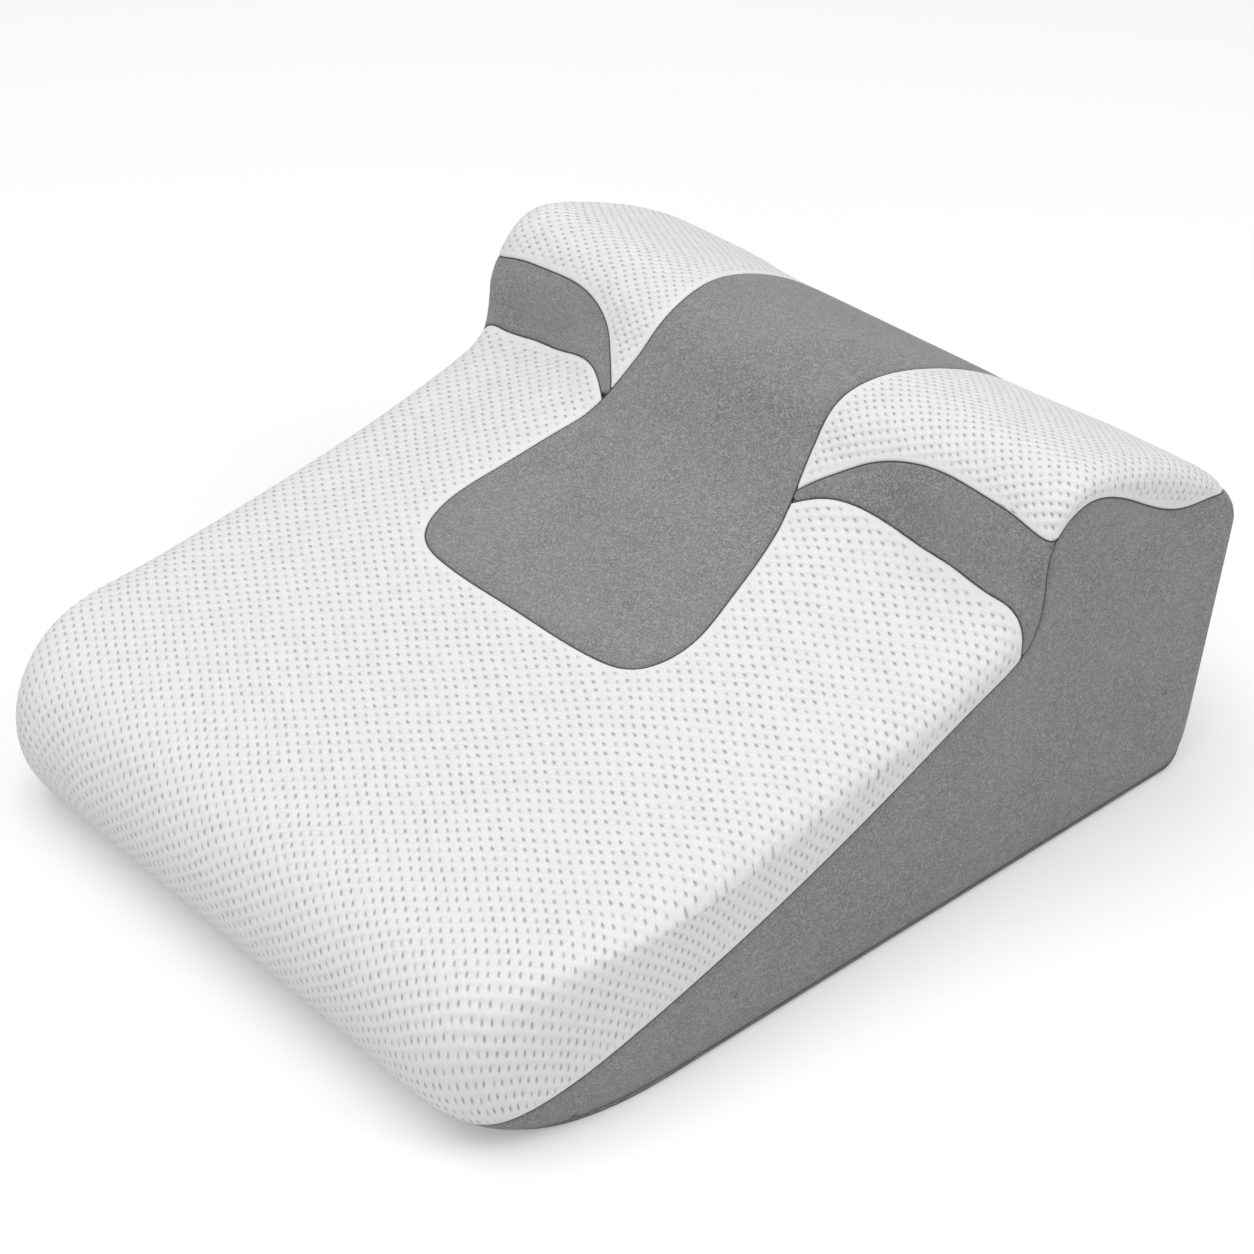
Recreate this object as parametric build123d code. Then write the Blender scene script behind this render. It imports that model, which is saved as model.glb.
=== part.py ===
from build123d import *
import math
import os

# Neck and back wedge cushion, millimetres. The sole stands on z = 0 under the
# centre of the cushion, the low nose faces -Y and the tall back faces +Y.

# Overall body
WIDTH = 510.0
DEPTH = 630.0
EDGE_RADIUS = 22.0
SOLE_RADIUS = 7.0
SOLE_TRIM = 3.0
CORNER_WIDTH = 77.0
CORNER_DEPTH = 129.0

# Centre profile: distance back from the nose, height above the floor
NOSE_DEPTH = 56.0
NOSE_HEIGHT = 112.0
NOSE_SLOPE = 10.0
RAMP_END = (371.6, 198.5)
RAMP_SLOPE = 21.8
NECK = (416.0, 237.5)
NECK_SLOPE = 45.0
RIDGE = (475.0, 268.0)
CREST_HEIGHT = 156.0
BACK_SETBACK = 0.5
BACK_LEAN = 8.3
HEEL_HEIGHT = 56.0
HEEL_DEPTH = 31.0

# Lobes either side of the cradle
LOBE_START = 86.0
LOBE_FULL = 178.0
LOBE_FOOT = (401.0, 209.5)
LOBE_FOOT_SLOPE = 19.0
LOBE_FACE = (429.0, 232.0)
LOBE_FACE_SLOPE = 84.0
LOBE_RISE = 1.5
LOBE_CREST_HEIGHT = 177.0
CROWN_START = 100.0
CROWN_END = 228.0
CROWN_DROP = 24.0

# Layers, counted inward from the outside of the cover
COVER_THICKNESS = 3.0
LAYER_GAP = 0.4
SEAM_GAP = 0.3
TOPPER_THICKNESS = 32.0

# Seams
SOLE_SEAM_HEIGHT = 5.0
CREST_SEAM_HEIGHT = 146.0
BACK_SEAM_INSET = 3.6
SIDE_SEAM_START = (111.0, 48.0)
SIDE_SEAM_TIP = (183.0, 34.0)
CRADLE_FRONT = 241.0
CRADLE_HALF_WIDTH = 114.0
CRADLE_NECK_WIDTH = 78.0
CRADLE_BACK_WIDTH = 88.0

# Zip across the back
ZIP_HEIGHT = 92.0
ZIP_HALF_LENGTH = 202.0
ZIP_OPENING = 12.0
ZIP_END_MARGIN = 2.0
OPENING_ROUND = 2.0
HEM_THICKNESS = 1.0
TAPE_WIDTH = 15.0
TAPE_THICKNESS = 0.6
TAPE_TAIL = 6.0
CHAIN_WIDTH = 6.0
CHAIN_THICKNESS = 2.1
CHAIN_GAP = 1.2
CHAIN_ROUND = 0.6
STOP_LENGTH = 4.0
STOP_WIDTH = 2.8
STOP_THICKNESS = 2.6
CLEARANCE = 0.3

# Slider and pull tab
SLIDER_LENGTH = 14.0
SLIDER_WIDTH = 10.4
SLIDER_TAPER = 0.7
SLIDER_ROUND = 1.6
SLIDER_WALL = 0.8
SLIDER_FLANGE = 1.0
SLIDER_SLACK = 3.0
POST_LENGTH = 3.0
BRIDGE_LENGTH = 8.4
BRIDGE_WIDTH = 1.8
BRIDGE_THICKNESS = 1.0
PULL_LENGTH = 30.0
PULL_WIDTH = 7.0
PULL_THICKNESS = 1.2
PULL_ARM = 1.3
PULL_ROUND = 2.5

QUARTER = 0.5523
LOBE_STATIONS = (0.0, 24 / 92, 46 / 92, 68 / 92, 1.0)
FLANK_STATION = 32 / 55
ROUNDING_ANGLES = (25, 50, 76)


def smooth(value, low, high):
    share = min(max((value - low) / (high - low), 0.0), 1.0)
    return share * share * (3.0 - 2.0 * share)


def mix(first, second, share):
    return first + (second - first) * share


def corner_setback(x, inset):
    """How far the rounded front corner draws the nose back at this x."""
    start = WIDTH / 2 - CORNER_WIDTH
    run = min(max((x - start) / (CORNER_WIDTH - inset), 0.0), 1.0)
    return CORNER_DEPTH - (CORNER_DEPTH - inset) * (1.0 - run**3) ** (1 / 3)


def knot(point, angle, inset):
    """A profile point with its travel direction, moved inward by the inset."""
    turn = math.radians(angle)
    along = (math.cos(turn), math.sin(turn))
    place = (point[0] + along[1] * inset, point[1] - along[0] * inset)
    return place, along, angle


def span(first, second, first_handle, second_handle, inset=0.0):
    """Control points of the cubic between two knots."""
    cut = inset * 4 / 3 * math.tan(math.radians(first[2] - second[2]) / 4)
    lead = max(first_handle - cut, 0.5)
    trail = max(second_handle - cut, 0.5)
    near = (first[0][0] + first[1][0] * lead, first[0][1] + first[1][1] * lead)
    far = (second[0][0] - second[1][0] * trail, second[0][1] - second[1][1] * trail)
    return [first[0], near, far, second[0]]


def back_angle():
    return -90.0 - BACK_LEAN


def back_line(height):
    """Distance back from the nose of the leaning back face."""
    drop = LOBE_CREST_HEIGHT - height
    return DEPTH - BACK_SETBACK - drop * math.tan(math.radians(BACK_LEAN))


def profile(x, inset, sole, layer):
    """Closed side profile at x, as control points of its nine spans."""
    lobe = smooth(abs(x), LOBE_START, LOBE_FULL)
    crown = smooth(abs(x), CROWN_START, CROWN_END)
    setback = corner_setback(abs(x), layer)
    rise = math.tan(math.radians(NOSE_SLOPE))
    nose_back = NOSE_DEPTH + setback
    face_inset = mix(layer, inset, 0.25)
    ridge_inset = mix(layer, inset, 0.55)
    back_inset = mix(layer, inset, 0.45)
    floor_front = ((nose_back, sole), (-1.0, 0.0), 180.0)
    nose = ((setback + inset - layer, NOSE_HEIGHT / 2), (0.0, 1.0), 90.0)
    nose_top_place = (nose_back - layer - 9.5, NOSE_HEIGHT + (setback - layer) * rise)
    nose_top = knot(nose_top_place, NOSE_SLOPE, inset)
    foot_place = (
        mix(RAMP_END[0], LOBE_FOOT[0], lobe),
        mix(RAMP_END[1], LOBE_FOOT[1], lobe) - CROWN_DROP * crown,
    )
    foot = knot(foot_place, mix(RAMP_SLOPE, LOBE_FOOT_SLOPE, lobe), inset)
    face_place = (
        mix(NECK[0], LOBE_FACE[0], lobe),
        mix(NECK[1], LOBE_FACE[1], lobe) - 0.6 * CROWN_DROP * crown,
    )
    face = knot(face_place, mix(NECK_SLOPE, LOBE_FACE_SLOPE, lobe), face_inset)
    ridge = knot((RIDGE[0], RIDGE[1] + LOBE_RISE * lobe), 0.0, ridge_inset)
    crest_height = mix(CREST_HEIGHT, LOBE_CREST_HEIGHT, lobe)
    crest = knot((back_line(crest_height), crest_height), back_angle(), back_inset)
    heel = knot((back_line(HEEL_HEIGHT), HEEL_HEIGHT), back_angle(), back_inset)
    floor_back = ((back_line(HEEL_HEIGHT) - HEEL_DEPTH, sole), (-1.0, 0.0), -180.0)
    ramp_handle = 0.36 * (foot[0][0] - nose_top[0][0])
    nose_rise = QUARTER * (nose_top[0][1] - nose[0][1])
    nose_run = QUARTER * (nose_top[0][0] - nose[0][0])
    return [
        [floor_back[0], floor_front[0]],
        span(floor_front, nose, QUARTER * NOSE_DEPTH, QUARTER * (nose[0][1] - sole)),
        span(nose, nose_top, nose_rise, nose_run),
        span(nose_top, foot, ramp_handle, 0.95 * ramp_handle),
        span(foot, face, mix(19.0, 18.0, lobe), mix(18.0, 22.0, lobe), inset),
        span(face, ridge, mix(14.0, 23.0, lobe), mix(41.0, 29.0, lobe), inset),
        span(ridge, crest, mix(49.0, 26.0, lobe), mix(62.0, 46.0, lobe), inset),
        [crest[0], heel[0]],
        span(heel, floor_back, QUARTER * (HEEL_HEIGHT - sole), QUARTER * HEEL_DEPTH),
    ]


def section(x, inset, sole, layer):
    edges = []
    for points in profile(x, inset, sole, layer):
        places = [Vector(x, y - DEPTH / 2, z) for y, z in points]
        if len(places) == 2:
            edges.append(Edge.make_line(*places))
        else:
            edges.append(Edge.make_bezier(*places))
    return Wire(edges)


def pillow(layer):
    """The whole cushion shape, taken in by one layer depth all round."""
    flat = WIDTH / 2 - EDGE_RADIUS
    stations = [0.0]
    stations += [mix(LOBE_START, LOBE_FULL, share) for share in LOBE_STATIONS]
    stations += [mix(LOBE_FULL, flat, FLANK_STATION), flat]
    half = [(x, layer, layer - SOLE_TRIM) for x in stations]
    full_turn = math.sin(math.radians(ROUNDING_ANGLES[-1]))
    for angle in ROUNDING_ANGLES:
        turn = math.radians(angle)
        x = flat + (EDGE_RADIUS - layer) * math.sin(turn) / full_turn
        inset = layer + (EDGE_RADIUS - layer) * (1 - math.cos(turn))
        sole = layer - SOLE_TRIM + SOLE_RADIUS * (1 - math.cos(turn))
        half.append((x, inset, sole))
    full = [(-x, inset, sole) for x, inset, sole in reversed(half[1:])] + half
    body = Solid.make_loft([section(*place, layer) for place in full], True)
    above = Pos(0, 0, layer) * Box(
        2 * WIDTH, 2 * DEPTH, 2 * RIDGE[1], align=(Align.CENTER, Align.CENTER, Align.MIN)
    )
    return body & above


def place_yz(points, x=0.0):
    return [Vector(x, y - DEPTH / 2, z) for y, z in points]


def grown(points, gap):
    """The points of a curve, moved by the gap to the left of their travel."""
    moved = []
    for index, (across_x, up_y) in enumerate(points):
        before = points[max(index - 1, 0)]
        after = points[min(index + 1, len(points) - 1)]
        run, rise = after[0] - before[0], after[1] - before[1]
        length = math.hypot(run, rise)
        moved.append((across_x - gap * rise / length, up_y + gap * run / length))
    return moved


def side_tool(gap):
    """Everything that belongs to the right side panel, grown by the gap."""
    start, foot, face, ridge = SIDE_SEAM_START, LOBE_FOOT, LOBE_FACE, RIDGE
    back = DEPTH - BACK_SETBACK
    seam = [
        start,
        (mix(start[0], foot[0], 0.38), mix(start[1], foot[1], 0.2)),
        (mix(start[0], foot[0], 0.78), mix(start[1], foot[1], 0.48)),
        (face[0] - 31, face[1] - 81),
        (face[0] + 1, face[1] - 63),
        (face[0] + 11, face[1] - 34),
        (face[0] + 15, face[1] + 1),
        (ridge[0] - 4, ridge[1] - 17),
        (mix(ridge[0], back, 38 / 309), ridge[1] - 21),
        (mix(ridge[0], back, 110 / 309), ridge[1] - 41),
        (mix(ridge[0], back, 184 / 309), ridge[1] - 58),
        (back - 24, LOBE_CREST_HEIGHT + 28),
        (back - 12, LOBE_CREST_HEIGHT + 25),
    ]
    drop = BACK_SEAM_INSET / math.cos(math.radians(BACK_LEAN))
    high, bend = LOBE_CREST_HEIGHT - 8, HEEL_HEIGHT + 6
    crest = (back_line(high) - drop, high)
    heel = (back_line(bend) - drop, bend)
    heel_handle = (heel[0] - 4.6, 0.45 * bend)
    heel_floor = (heel[0] - HEEL_DEPTH, BACK_SEAM_INSET)
    floor_handle = (heel_floor[0] + 0.55 * HEEL_DEPTH, BACK_SEAM_INSET)
    low = -20.0
    back_path = [
        (crest[0] + 2.4, crest[1] + 28),
        (crest[0], crest[1] + 18),
        crest,
        heel,
        heel_handle,
        floor_handle,
        heel_floor,
        (heel_floor[0], low),
    ]
    path = grown(seam + back_path, gap)
    seam, back_path = path[: len(seam)], path[len(seam) :]
    edges = [
        Edge.make_line(*place_yz([(low, low), (low, seam[0][1])])),
        Edge.make_line(*place_yz([(low, seam[0][1]), seam[0]])),
        Edge.make_spline(place_yz(seam)),
        Edge.make_bezier(*place_yz([seam[-1]] + back_path[:3])),
        Edge.make_line(*place_yz(back_path[2:4])),
        Edge.make_bezier(*place_yz(back_path[3:7])),
        Edge.make_line(*place_yz(back_path[6:])),
        Edge.make_line(*place_yz([back_path[-1], (low, low)])),
    ]
    outline = Pos(SIDE_SEAM_TIP[0] - 13, 0, 0) * Face(Wire(edges))
    tool = extrude(outline, WIDTH / 2, dir=(1, 0, 0))
    size = 4 * DEPTH
    split_y = start[0] - DEPTH / 2
    rear = Pos(0, split_y, 0) * Box(
        size, size, size, align=(Align.CENTER, Align.MIN, Align.CENTER)
    )
    return (tool & rear) + ((tool - rear) & under_corner_seam(gap))


def under_corner_seam(gap):
    """Half space under the slanting seam round the front corner."""
    tip = Vector(SIDE_SEAM_TIP[0], SIDE_SEAM_TIP[1] - DEPTH / 2, SOLE_SEAM_HEIGHT + gap)
    top = Vector(WIDTH / 2, SIDE_SEAM_START[0] - DEPTH / 2, SIDE_SEAM_START[1] + gap)
    upward = (top - tip).cross(Vector(0.7, -0.7, 0))
    if upward.Z < 0:
        upward = -upward
    size = 4 * DEPTH
    return Plane(origin=tip, z_dir=upward) * Box(
        size, size, size, align=(Align.CENTER, Align.CENTER, Align.MAX)
    )


def above_height(height):
    size = 4 * DEPTH
    return Pos(0, 0, height) * Box(
        size, size, size, align=(Align.CENTER, Align.CENTER, Align.MIN)
    )


def zip_plane():
    """Outer back face at the zip: local X along the zip, Y down, Z outward."""
    lean = math.radians(BACK_LEAN)
    origin = (0, back_line(ZIP_HEIGHT) - DEPTH / 2, ZIP_HEIGHT)
    return Plane(origin=origin, x_dir=(1, 0, 0), z_dir=(0, math.cos(lean), -math.sin(lean)))


def sole_tool(gap):
    """Everything below the sole seam, and the heel up to the zip."""
    size = 4 * DEPTH
    low = Pos(0, 0, SOLE_SEAM_HEIGHT + gap) * Box(
        size, size, size, align=(Align.CENTER, Align.CENTER, Align.MAX)
    )
    heel = Box(size, size, 120, align=(Align.CENTER, Align.MIN, Align.CENTER))
    heel = zip_plane() * Pos(0, -gap, 0) * heel - side_tool(SEAM_GAP - gap)
    return low + heel


def back_tool(gap):
    """The back face between the zip and the crest seam."""
    size = 4 * DEPTH
    block = Box(size, size, 16, align=(Align.CENTER, Align.MAX, Align.CENTER))
    lid = Pos(0, 0, CREST_SEAM_HEIGHT + gap) * Box(
        size, size, size, align=(Align.CENTER, Align.CENTER, Align.MAX)
    )
    return zip_plane() * block & lid


def cradle_tool(gap):
    """Plan outline of the cradle strip, from its rounded front to the crest."""
    front, wide = CRADLE_FRONT, CRADLE_HALF_WIDTH
    neck, back = CRADLE_NECK_WIDTH, CRADLE_BACK_WIDTH
    right = [
        (0.62 * wide, front + 1),
        (0.9 * wide, front + 11),
        (wide, front + 36),
        (0.955 * wide, front + 76),
        (mix(wide, neck, 0.45), front + 120),
        (neck + 3, NECK[0] - 2),
        (neck, RIDGE[0] - 42),
        (mix(neck, back, 0.45), RIDGE[0]),
        (back, RIDGE[0] + 36),
        (back, DEPTH + 20),
    ]
    left = [(-x, y) for x, y in right]
    path = grown(right[::-1] + [(0, front)] + left, gap)
    places = [Vector(x, y - DEPTH / 2, 0) for x, y in path]
    curve = Edge.make_spline(places, tangents=[Vector(0, -1, 0), Vector(0, 1, 0)])
    edges = [curve, Edge.make_line(places[-1], places[0])]
    tool = extrude(Face(Wire(edges)), 2 * RIDGE[1], dir=(0, 0, 1))
    return tool & above_height(SOLE_SEAM_HEIGHT + 20)


def shoulder_tool(gap):
    """The inset on the front face of the right lobe."""
    foot, face = LOBE_FOOT, LOBE_FACE
    inner, edge = CRADLE_NECK_WIDTH + 9, WIDTH / 2
    low = [
        (inner - 10, NECK[0] - 33),
        (inner + 20, NECK[0] - 14.5),
        (inner + 45, NECK[0] - 4),
        (inner + 73, foot[0] + 18.5),
        (edge - 55, foot[0] + 21.5),
        (edge - 13, foot[0] + 21),
        (edge + 4, foot[0] + 23),
    ]
    high = [
        (inner - 10, NECK[1] - 30),
        (inner + 9, NECK[1] - 13),
        (inner + 22, NECK[1] - 4.5),
        (inner + 35, face[1] + 8.5),
        (inner + 51, face[1] + 14),
        (inner + 71, face[1] + 17),
        (edge - 50, face[1] + 15),
        (edge - 23, face[1] + 12),
        (edge + 4, face[1] + 4),
    ]
    rear = RIDGE[0] - 28 - DEPTH / 2
    plan = [Vector(x, y - DEPTH / 2, 0) for x, y in grown(low, -gap)]
    front = [Vector(x, -rear, z) for x, z in grown(high, gap)]
    behind = extrude(closed_under(plan, Vector(0, rear, 0)), 2 * RIDGE[1], dir=(0, 0, 1))
    below = extrude(closed_under(front, Vector(0, -rear, 0)), 2 * DEPTH, dir=(0, 1, 0), both=True)
    return below & behind


def closed_under(curve, base):
    """Face between a curve and its straight shadow on the base line."""
    first = Vector(curve[0].X, base.Y, 0)
    last = Vector(curve[-1].X, base.Y, 0)
    edges = [
        Edge.make_spline(curve),
        Edge.make_line(curve[-1], last),
        Edge.make_line(last, first),
        Edge.make_line(first, curve[0]),
    ]
    return Face(Wire(edges))


def right_half(body):
    size = 4 * DEPTH
    return body & Box(size, size, size, align=(Align.MIN, Align.CENTER, Align.CENTER))


def largest(shape):
    return max(shape.solids(), key=lambda solid: solid.volume)


def mirrored(solid):
    return mirror(solid, Plane.YZ)


def across(solid):
    """A right half joined to its mirror image."""
    return largest(solid + mirrored(solid))


def nearest(pieces, spot):
    """The solid that lies closest to a spot on the cushion."""
    return min(pieces, key=lambda piece: piece.distance_to(Vertex(*spot)))


def cover_halves():
    """The right half of the outer cover, cut along its seams."""
    rest = right_half(pillow(0.0))
    hollow = right_half(pillow(COVER_THICKNESS))
    halves = {}
    cuts = {
        "base_panel": sole_tool,
        "side_panel": side_tool,
        "back_panel": back_tool,
        "cradle_panel": cradle_tool,
        "shoulder_panel": shoulder_tool,
    }
    for name, tool in cuts.items():
        halves[name] = largest((rest & tool(0.0)) - hollow)
        rest = rest - tool(SEAM_GAP)
    pieces = (rest - hollow).solids()
    halves["ramp_panel"] = nearest(pieces, (0, -DEPTH / 4, NOSE_HEIGHT + 20))
    halves["lobe_panel"] = nearest(pieces, (0.35 * WIDTH, RIDGE[0] - DEPTH / 2, RIDGE[1]))
    return halves


def zip_block(size_x, size_y, low, high):
    """A block centred on the zip line between two heights of the zip plane."""
    block = Box(size_x, size_y, high - low, align=(Align.CENTER, Align.CENTER, Align.MIN))
    return zip_plane() * Pos(0, 0, low) * block


def zip_window():
    """The opening between the two hems."""
    length = 2 * (ZIP_HALF_LENGTH + ZIP_END_MARGIN)
    outline = RectangleRounded(length, ZIP_OPENING, OPENING_ROUND)
    return zip_plane() * extrude(outline, 2 * COVER_THICKNESS, both=True)


def tape_half_length():
    return ZIP_HALF_LENGTH + TAPE_TAIL


def hem_rebate():
    """The room behind the hems for the two tapes."""
    length = 2 * (tape_half_length() + CLEARANCE)
    width = 2 * (TAPE_WIDTH + CLEARANCE)
    return zip_block(length, width, -2 * COVER_THICKNESS, -HEM_THICKNESS)


def tape_top():
    return -HEM_THICKNESS - CLEARANCE


def chain_top():
    return tape_top() + CHAIN_THICKNESS


def on_side(solid, side, offset):
    """Place a strip beside the zip line: side -1 is above it, 1 below."""
    return zip_plane() * Pos(0, side * offset, 0) * solid


def zip_tape(side):
    width = TAPE_WIDTH - CHAIN_GAP / 2
    base = (Align.CENTER, Align.CENTER, Align.MAX)
    tape = Pos(0, 0, tape_top()) * Box(2 * tape_half_length(), width, TAPE_THICKNESS, align=base)
    return on_side(tape, side, CHAIN_GAP / 2 + width / 2)


def zip_coil(side):
    """One strand of the chain, standing on its tape between the stops."""
    width = (CHAIN_WIDTH - CHAIN_GAP) / 2
    length = 2 * (ZIP_HALF_LENGTH - STOP_LENGTH)
    base = (Align.CENTER, Align.CENTER, Align.MIN)
    strand = Box(length, width, CHAIN_THICKNESS, align=base)
    strand = fillet(strand.edges().filter_by(Axis.X).group_by(Axis.Z)[-1], CHAIN_ROUND)
    return on_side(Pos(0, 0, tape_top()) * strand, side, CHAIN_GAP / 2 + width / 2)


def stop_clip(width):
    base = (Align.MIN, Align.CENTER, Align.MIN)
    clip = Box(STOP_LENGTH, width, STOP_THICKNESS, align=base)
    clip = fillet(clip.edges().group_by(Axis.Z)[-1], CHAIN_ROUND)
    return Pos(ZIP_HALF_LENGTH - STOP_LENGTH, 0, tape_top()) * clip


def top_stops():
    """Two clips at the closed end, one on each tape edge."""
    clip = stop_clip(STOP_WIDTH)
    places = [on_side(clip, side, (CHAIN_GAP + STOP_WIDTH) / 2) for side in (-1, 1)]
    return Compound(places)


def bottom_stop():
    """One clip across both tape edges at the open end."""
    return mirrored(zip_plane() * stop_clip(CHAIN_GAP + 2 * STOP_WIDTH))


def slider_place():
    """Centre of the slider at the closed end of its travel."""
    rest = ZIP_HALF_LENGTH - STOP_LENGTH - SLIDER_SLACK - SLIDER_LENGTH / 2
    return zip_plane() * Pos(rest, 0, 0)


def slider_plan():
    """Wide shoulders toward the closed end, narrowing behind them."""
    half, wide = SLIDER_LENGTH / 2, SLIDER_WIDTH / 2
    narrow = wide - SLIDER_TAPER
    points = [(-half, -narrow), (0, -wide), (half, -wide), (half, wide), (0, wide), (-half, narrow)]
    outline = make_face(Polyline(*points, close=True))
    return fillet(outline.vertices(), SLIDER_ROUND)


def layer_between(outline, low, high):
    return Pos(0, 0, low) * extrude(outline, high - low)


def wing_heights():
    """Lower wing from below to above, then the upper wing's two faces."""
    inner_top = tape_top() - TAPE_THICKNESS - CLEARANCE
    outer_low = chain_top() + CLEARANCE
    return inner_top - SLIDER_WALL, inner_top, outer_low, outer_low + SLIDER_WALL


def pin_height():
    return wing_heights()[3] + CLEARANCE + PULL_THICKNESS / 2


def zip_slider():
    """Two wings held by a post, with flanges, and a bridge for the pull tab."""
    bottom, inner_top, outer_low, top = wing_heights()
    plan = slider_plan()
    through = Rectangle(2 * SLIDER_LENGTH, CHAIN_WIDTH + 2 * CLEARANCE)
    channel = offset(plan, -SLIDER_FLANGE) + through
    tape_gap = Rectangle(2 * SLIDER_LENGTH, 2 * SLIDER_WIDTH)
    body = layer_between(plan, bottom, top)
    body = body - layer_between(channel, inner_top, outer_low)
    body = body - layer_between(tape_gap, inner_top, tape_top() + CLEARANCE)
    post = Rectangle(POST_LENGTH, CHAIN_GAP - 2 * CLEARANCE)
    post = Pos(SLIDER_LENGTH / 2 - POST_LENGTH, 0, 0) * layer_between(post, inner_top, outer_low)
    return slider_place() * largest(body + post + bridge(top))


def bridge(foot):
    """The arch over the slider that the pull tab's pin lies in."""
    opening = PULL_THICKNESS + 2 * CLEARANCE
    base = (Align.CENTER, Align.CENTER, Align.MIN)
    arch = Box(BRIDGE_LENGTH, BRIDGE_WIDTH, opening + BRIDGE_THICKNESS, align=base)
    arch = fillet(arch.edges().filter_by(Axis.Y).group_by(Axis.Z)[-1], BRIDGE_THICKNESS)
    hole = Box(BRIDGE_LENGTH - 2 * BRIDGE_THICKNESS, 2 * BRIDGE_WIDTH, opening, align=base)
    return Pos(0, 0, foot) * (arch - hole)


def pull_tab():
    """Flat tab on a cross pin, with a window that clears the bridge."""
    arm_inner = BRIDGE_WIDTH / 2 + CLEARANCE
    arm_outer = arm_inner + PULL_ARM
    reach = math.hypot(BRIDGE_LENGTH / 2, PULL_THICKNESS / 2 + CLEARANCE + BRIDGE_THICKNESS)
    window = reach + CLEARANCE
    start = (Align.MIN, Align.CENTER)
    plate_length = PULL_LENGTH - window
    plate = RectangleRounded(plate_length, PULL_WIDTH, PULL_ROUND, align=start)
    arms = Rectangle(window + PULL_ROUND, 2 * arm_outer, align=start)
    opening = Rectangle(window, 2 * arm_inner, align=start)
    outline = Pos(window, 0, 0) * plate + arms - opening
    flat = extrude(outline, PULL_THICKNESS / 2, both=True)
    pin = Rot(90, 0, 0) * Cylinder(PULL_THICKNESS / 2, 2 * arm_outer)
    return slider_place() * Pos(0, 0, pin_height()) * largest(flat + pin)


def topper_block(gap):
    """Everything above the underside of the topper, grown by the gap."""
    deep = TOPPER_THICKNESS
    slant = deep * math.sin(math.radians(NECK_SLOPE))
    underside = [
        (-20.0, NOSE_HEIGHT - 1.15 * deep),
        (NOSE_DEPTH + deep, NOSE_HEIGHT - 0.7 * deep),
        (RAMP_END[0], RAMP_END[1] - deep),
        (NECK[0] + slant, NECK[1] - slant),
        (RIDGE[0], RIDGE[1] - deep),
        (mix(RIDGE[0], DEPTH, 0.6), CREST_HEIGHT),
        (DEPTH + 20.0, CREST_HEIGHT - deep),
    ]
    underside = grown(underside, -gap)
    high = RIDGE[1] + deep
    roof = [(underside[-1][0], high), (underside[0][0], high)]
    outline = make_face(Polyline(place_yz(underside + roof), close=True))
    return extrude(outline, WIDTH, dir=(1, 0, 0), both=True)


def foams():
    """The firm core and the softer topper glued over it."""
    core = right_half(pillow(COVER_THICKNESS + LAYER_GAP))
    topper = largest(core & topper_block(0.0))
    base = largest(core - topper_block(SEAM_GAP))
    return {"base_foam": across(base), "comfort_foam": across(topper)}


def cover():
    """All panels: those on the centre line whole, the others in pairs."""
    panels = {}
    for name, half in cover_halves().items():
        if name in ("base_panel", "back_panel"):
            half = largest(half - hem_rebate() - zip_window())
        if name in ("base_panel", "back_panel", "cradle_panel", "ramp_panel"):
            panels[name] = across(half)
        else:
            panels[name + "_right"] = half
            panels[name + "_left"] = mirrored(half)
    return panels


def zip_parts():
    return {
        "zip_tape_upper": zip_tape(-1),
        "zip_tape_lower": zip_tape(1),
        "zip_coil_upper": zip_coil(-1),
        "zip_coil_lower": zip_coil(1),
        "zip_top_stops": top_stops(),
        "zip_bottom_stop": bottom_stop(),
        "zip_slider": zip_slider(),
        "pull_tab": pull_tab(),
    }


os.makedirs("parts", exist_ok=True)
pieces = {**foams(), **cover(), **zip_parts()}
for name, piece in pieces.items():
    piece.label = name
    export_step(piece, f"parts/{name}.step")
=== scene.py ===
import math

import bpy
import numpy as np
from mathutils import Matrix, Vector, kdtree


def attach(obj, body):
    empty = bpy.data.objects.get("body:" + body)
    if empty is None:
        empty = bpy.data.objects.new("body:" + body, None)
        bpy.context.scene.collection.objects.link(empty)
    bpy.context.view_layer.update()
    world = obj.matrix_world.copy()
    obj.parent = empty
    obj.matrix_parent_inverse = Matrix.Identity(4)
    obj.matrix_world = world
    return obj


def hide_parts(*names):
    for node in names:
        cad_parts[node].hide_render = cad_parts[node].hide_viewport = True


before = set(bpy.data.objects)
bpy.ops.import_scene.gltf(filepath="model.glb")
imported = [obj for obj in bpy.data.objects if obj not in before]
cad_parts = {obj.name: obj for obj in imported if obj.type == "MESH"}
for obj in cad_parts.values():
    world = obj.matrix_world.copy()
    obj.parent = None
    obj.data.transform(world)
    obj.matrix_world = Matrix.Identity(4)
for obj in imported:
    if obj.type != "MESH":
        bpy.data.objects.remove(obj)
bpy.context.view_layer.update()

# ---------------------------------------------------------------------------
# Camera. It stands in front of the low right corner and looks down on the
# cushion. It is made first, with plain film settings.
# ---------------------------------------------------------------------------
def add_object(name, data):
    """A new object at the origin, linked into the scene."""
    item = bpy.data.objects.new(name, data)
    bpy.context.scene.collection.objects.link(item)
    return item


camera_data = bpy.data.cameras.new("camera")
camera_data.sensor_width = 36.0
camera_data.lens = 81.65
camera = add_object("camera", camera_data)
camera_azimuth, camera_elevation = math.radians(48.22), math.radians(33.67)
camera.location = (1.14255, -1.00127, 1.12002)
camera.rotation_euler = (math.pi / 2 - camera_elevation, 0.0, camera_azimuth)
bpy.context.scene.camera = camera
bpy.context.scene.view_settings.view_transform = "Standard"

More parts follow.
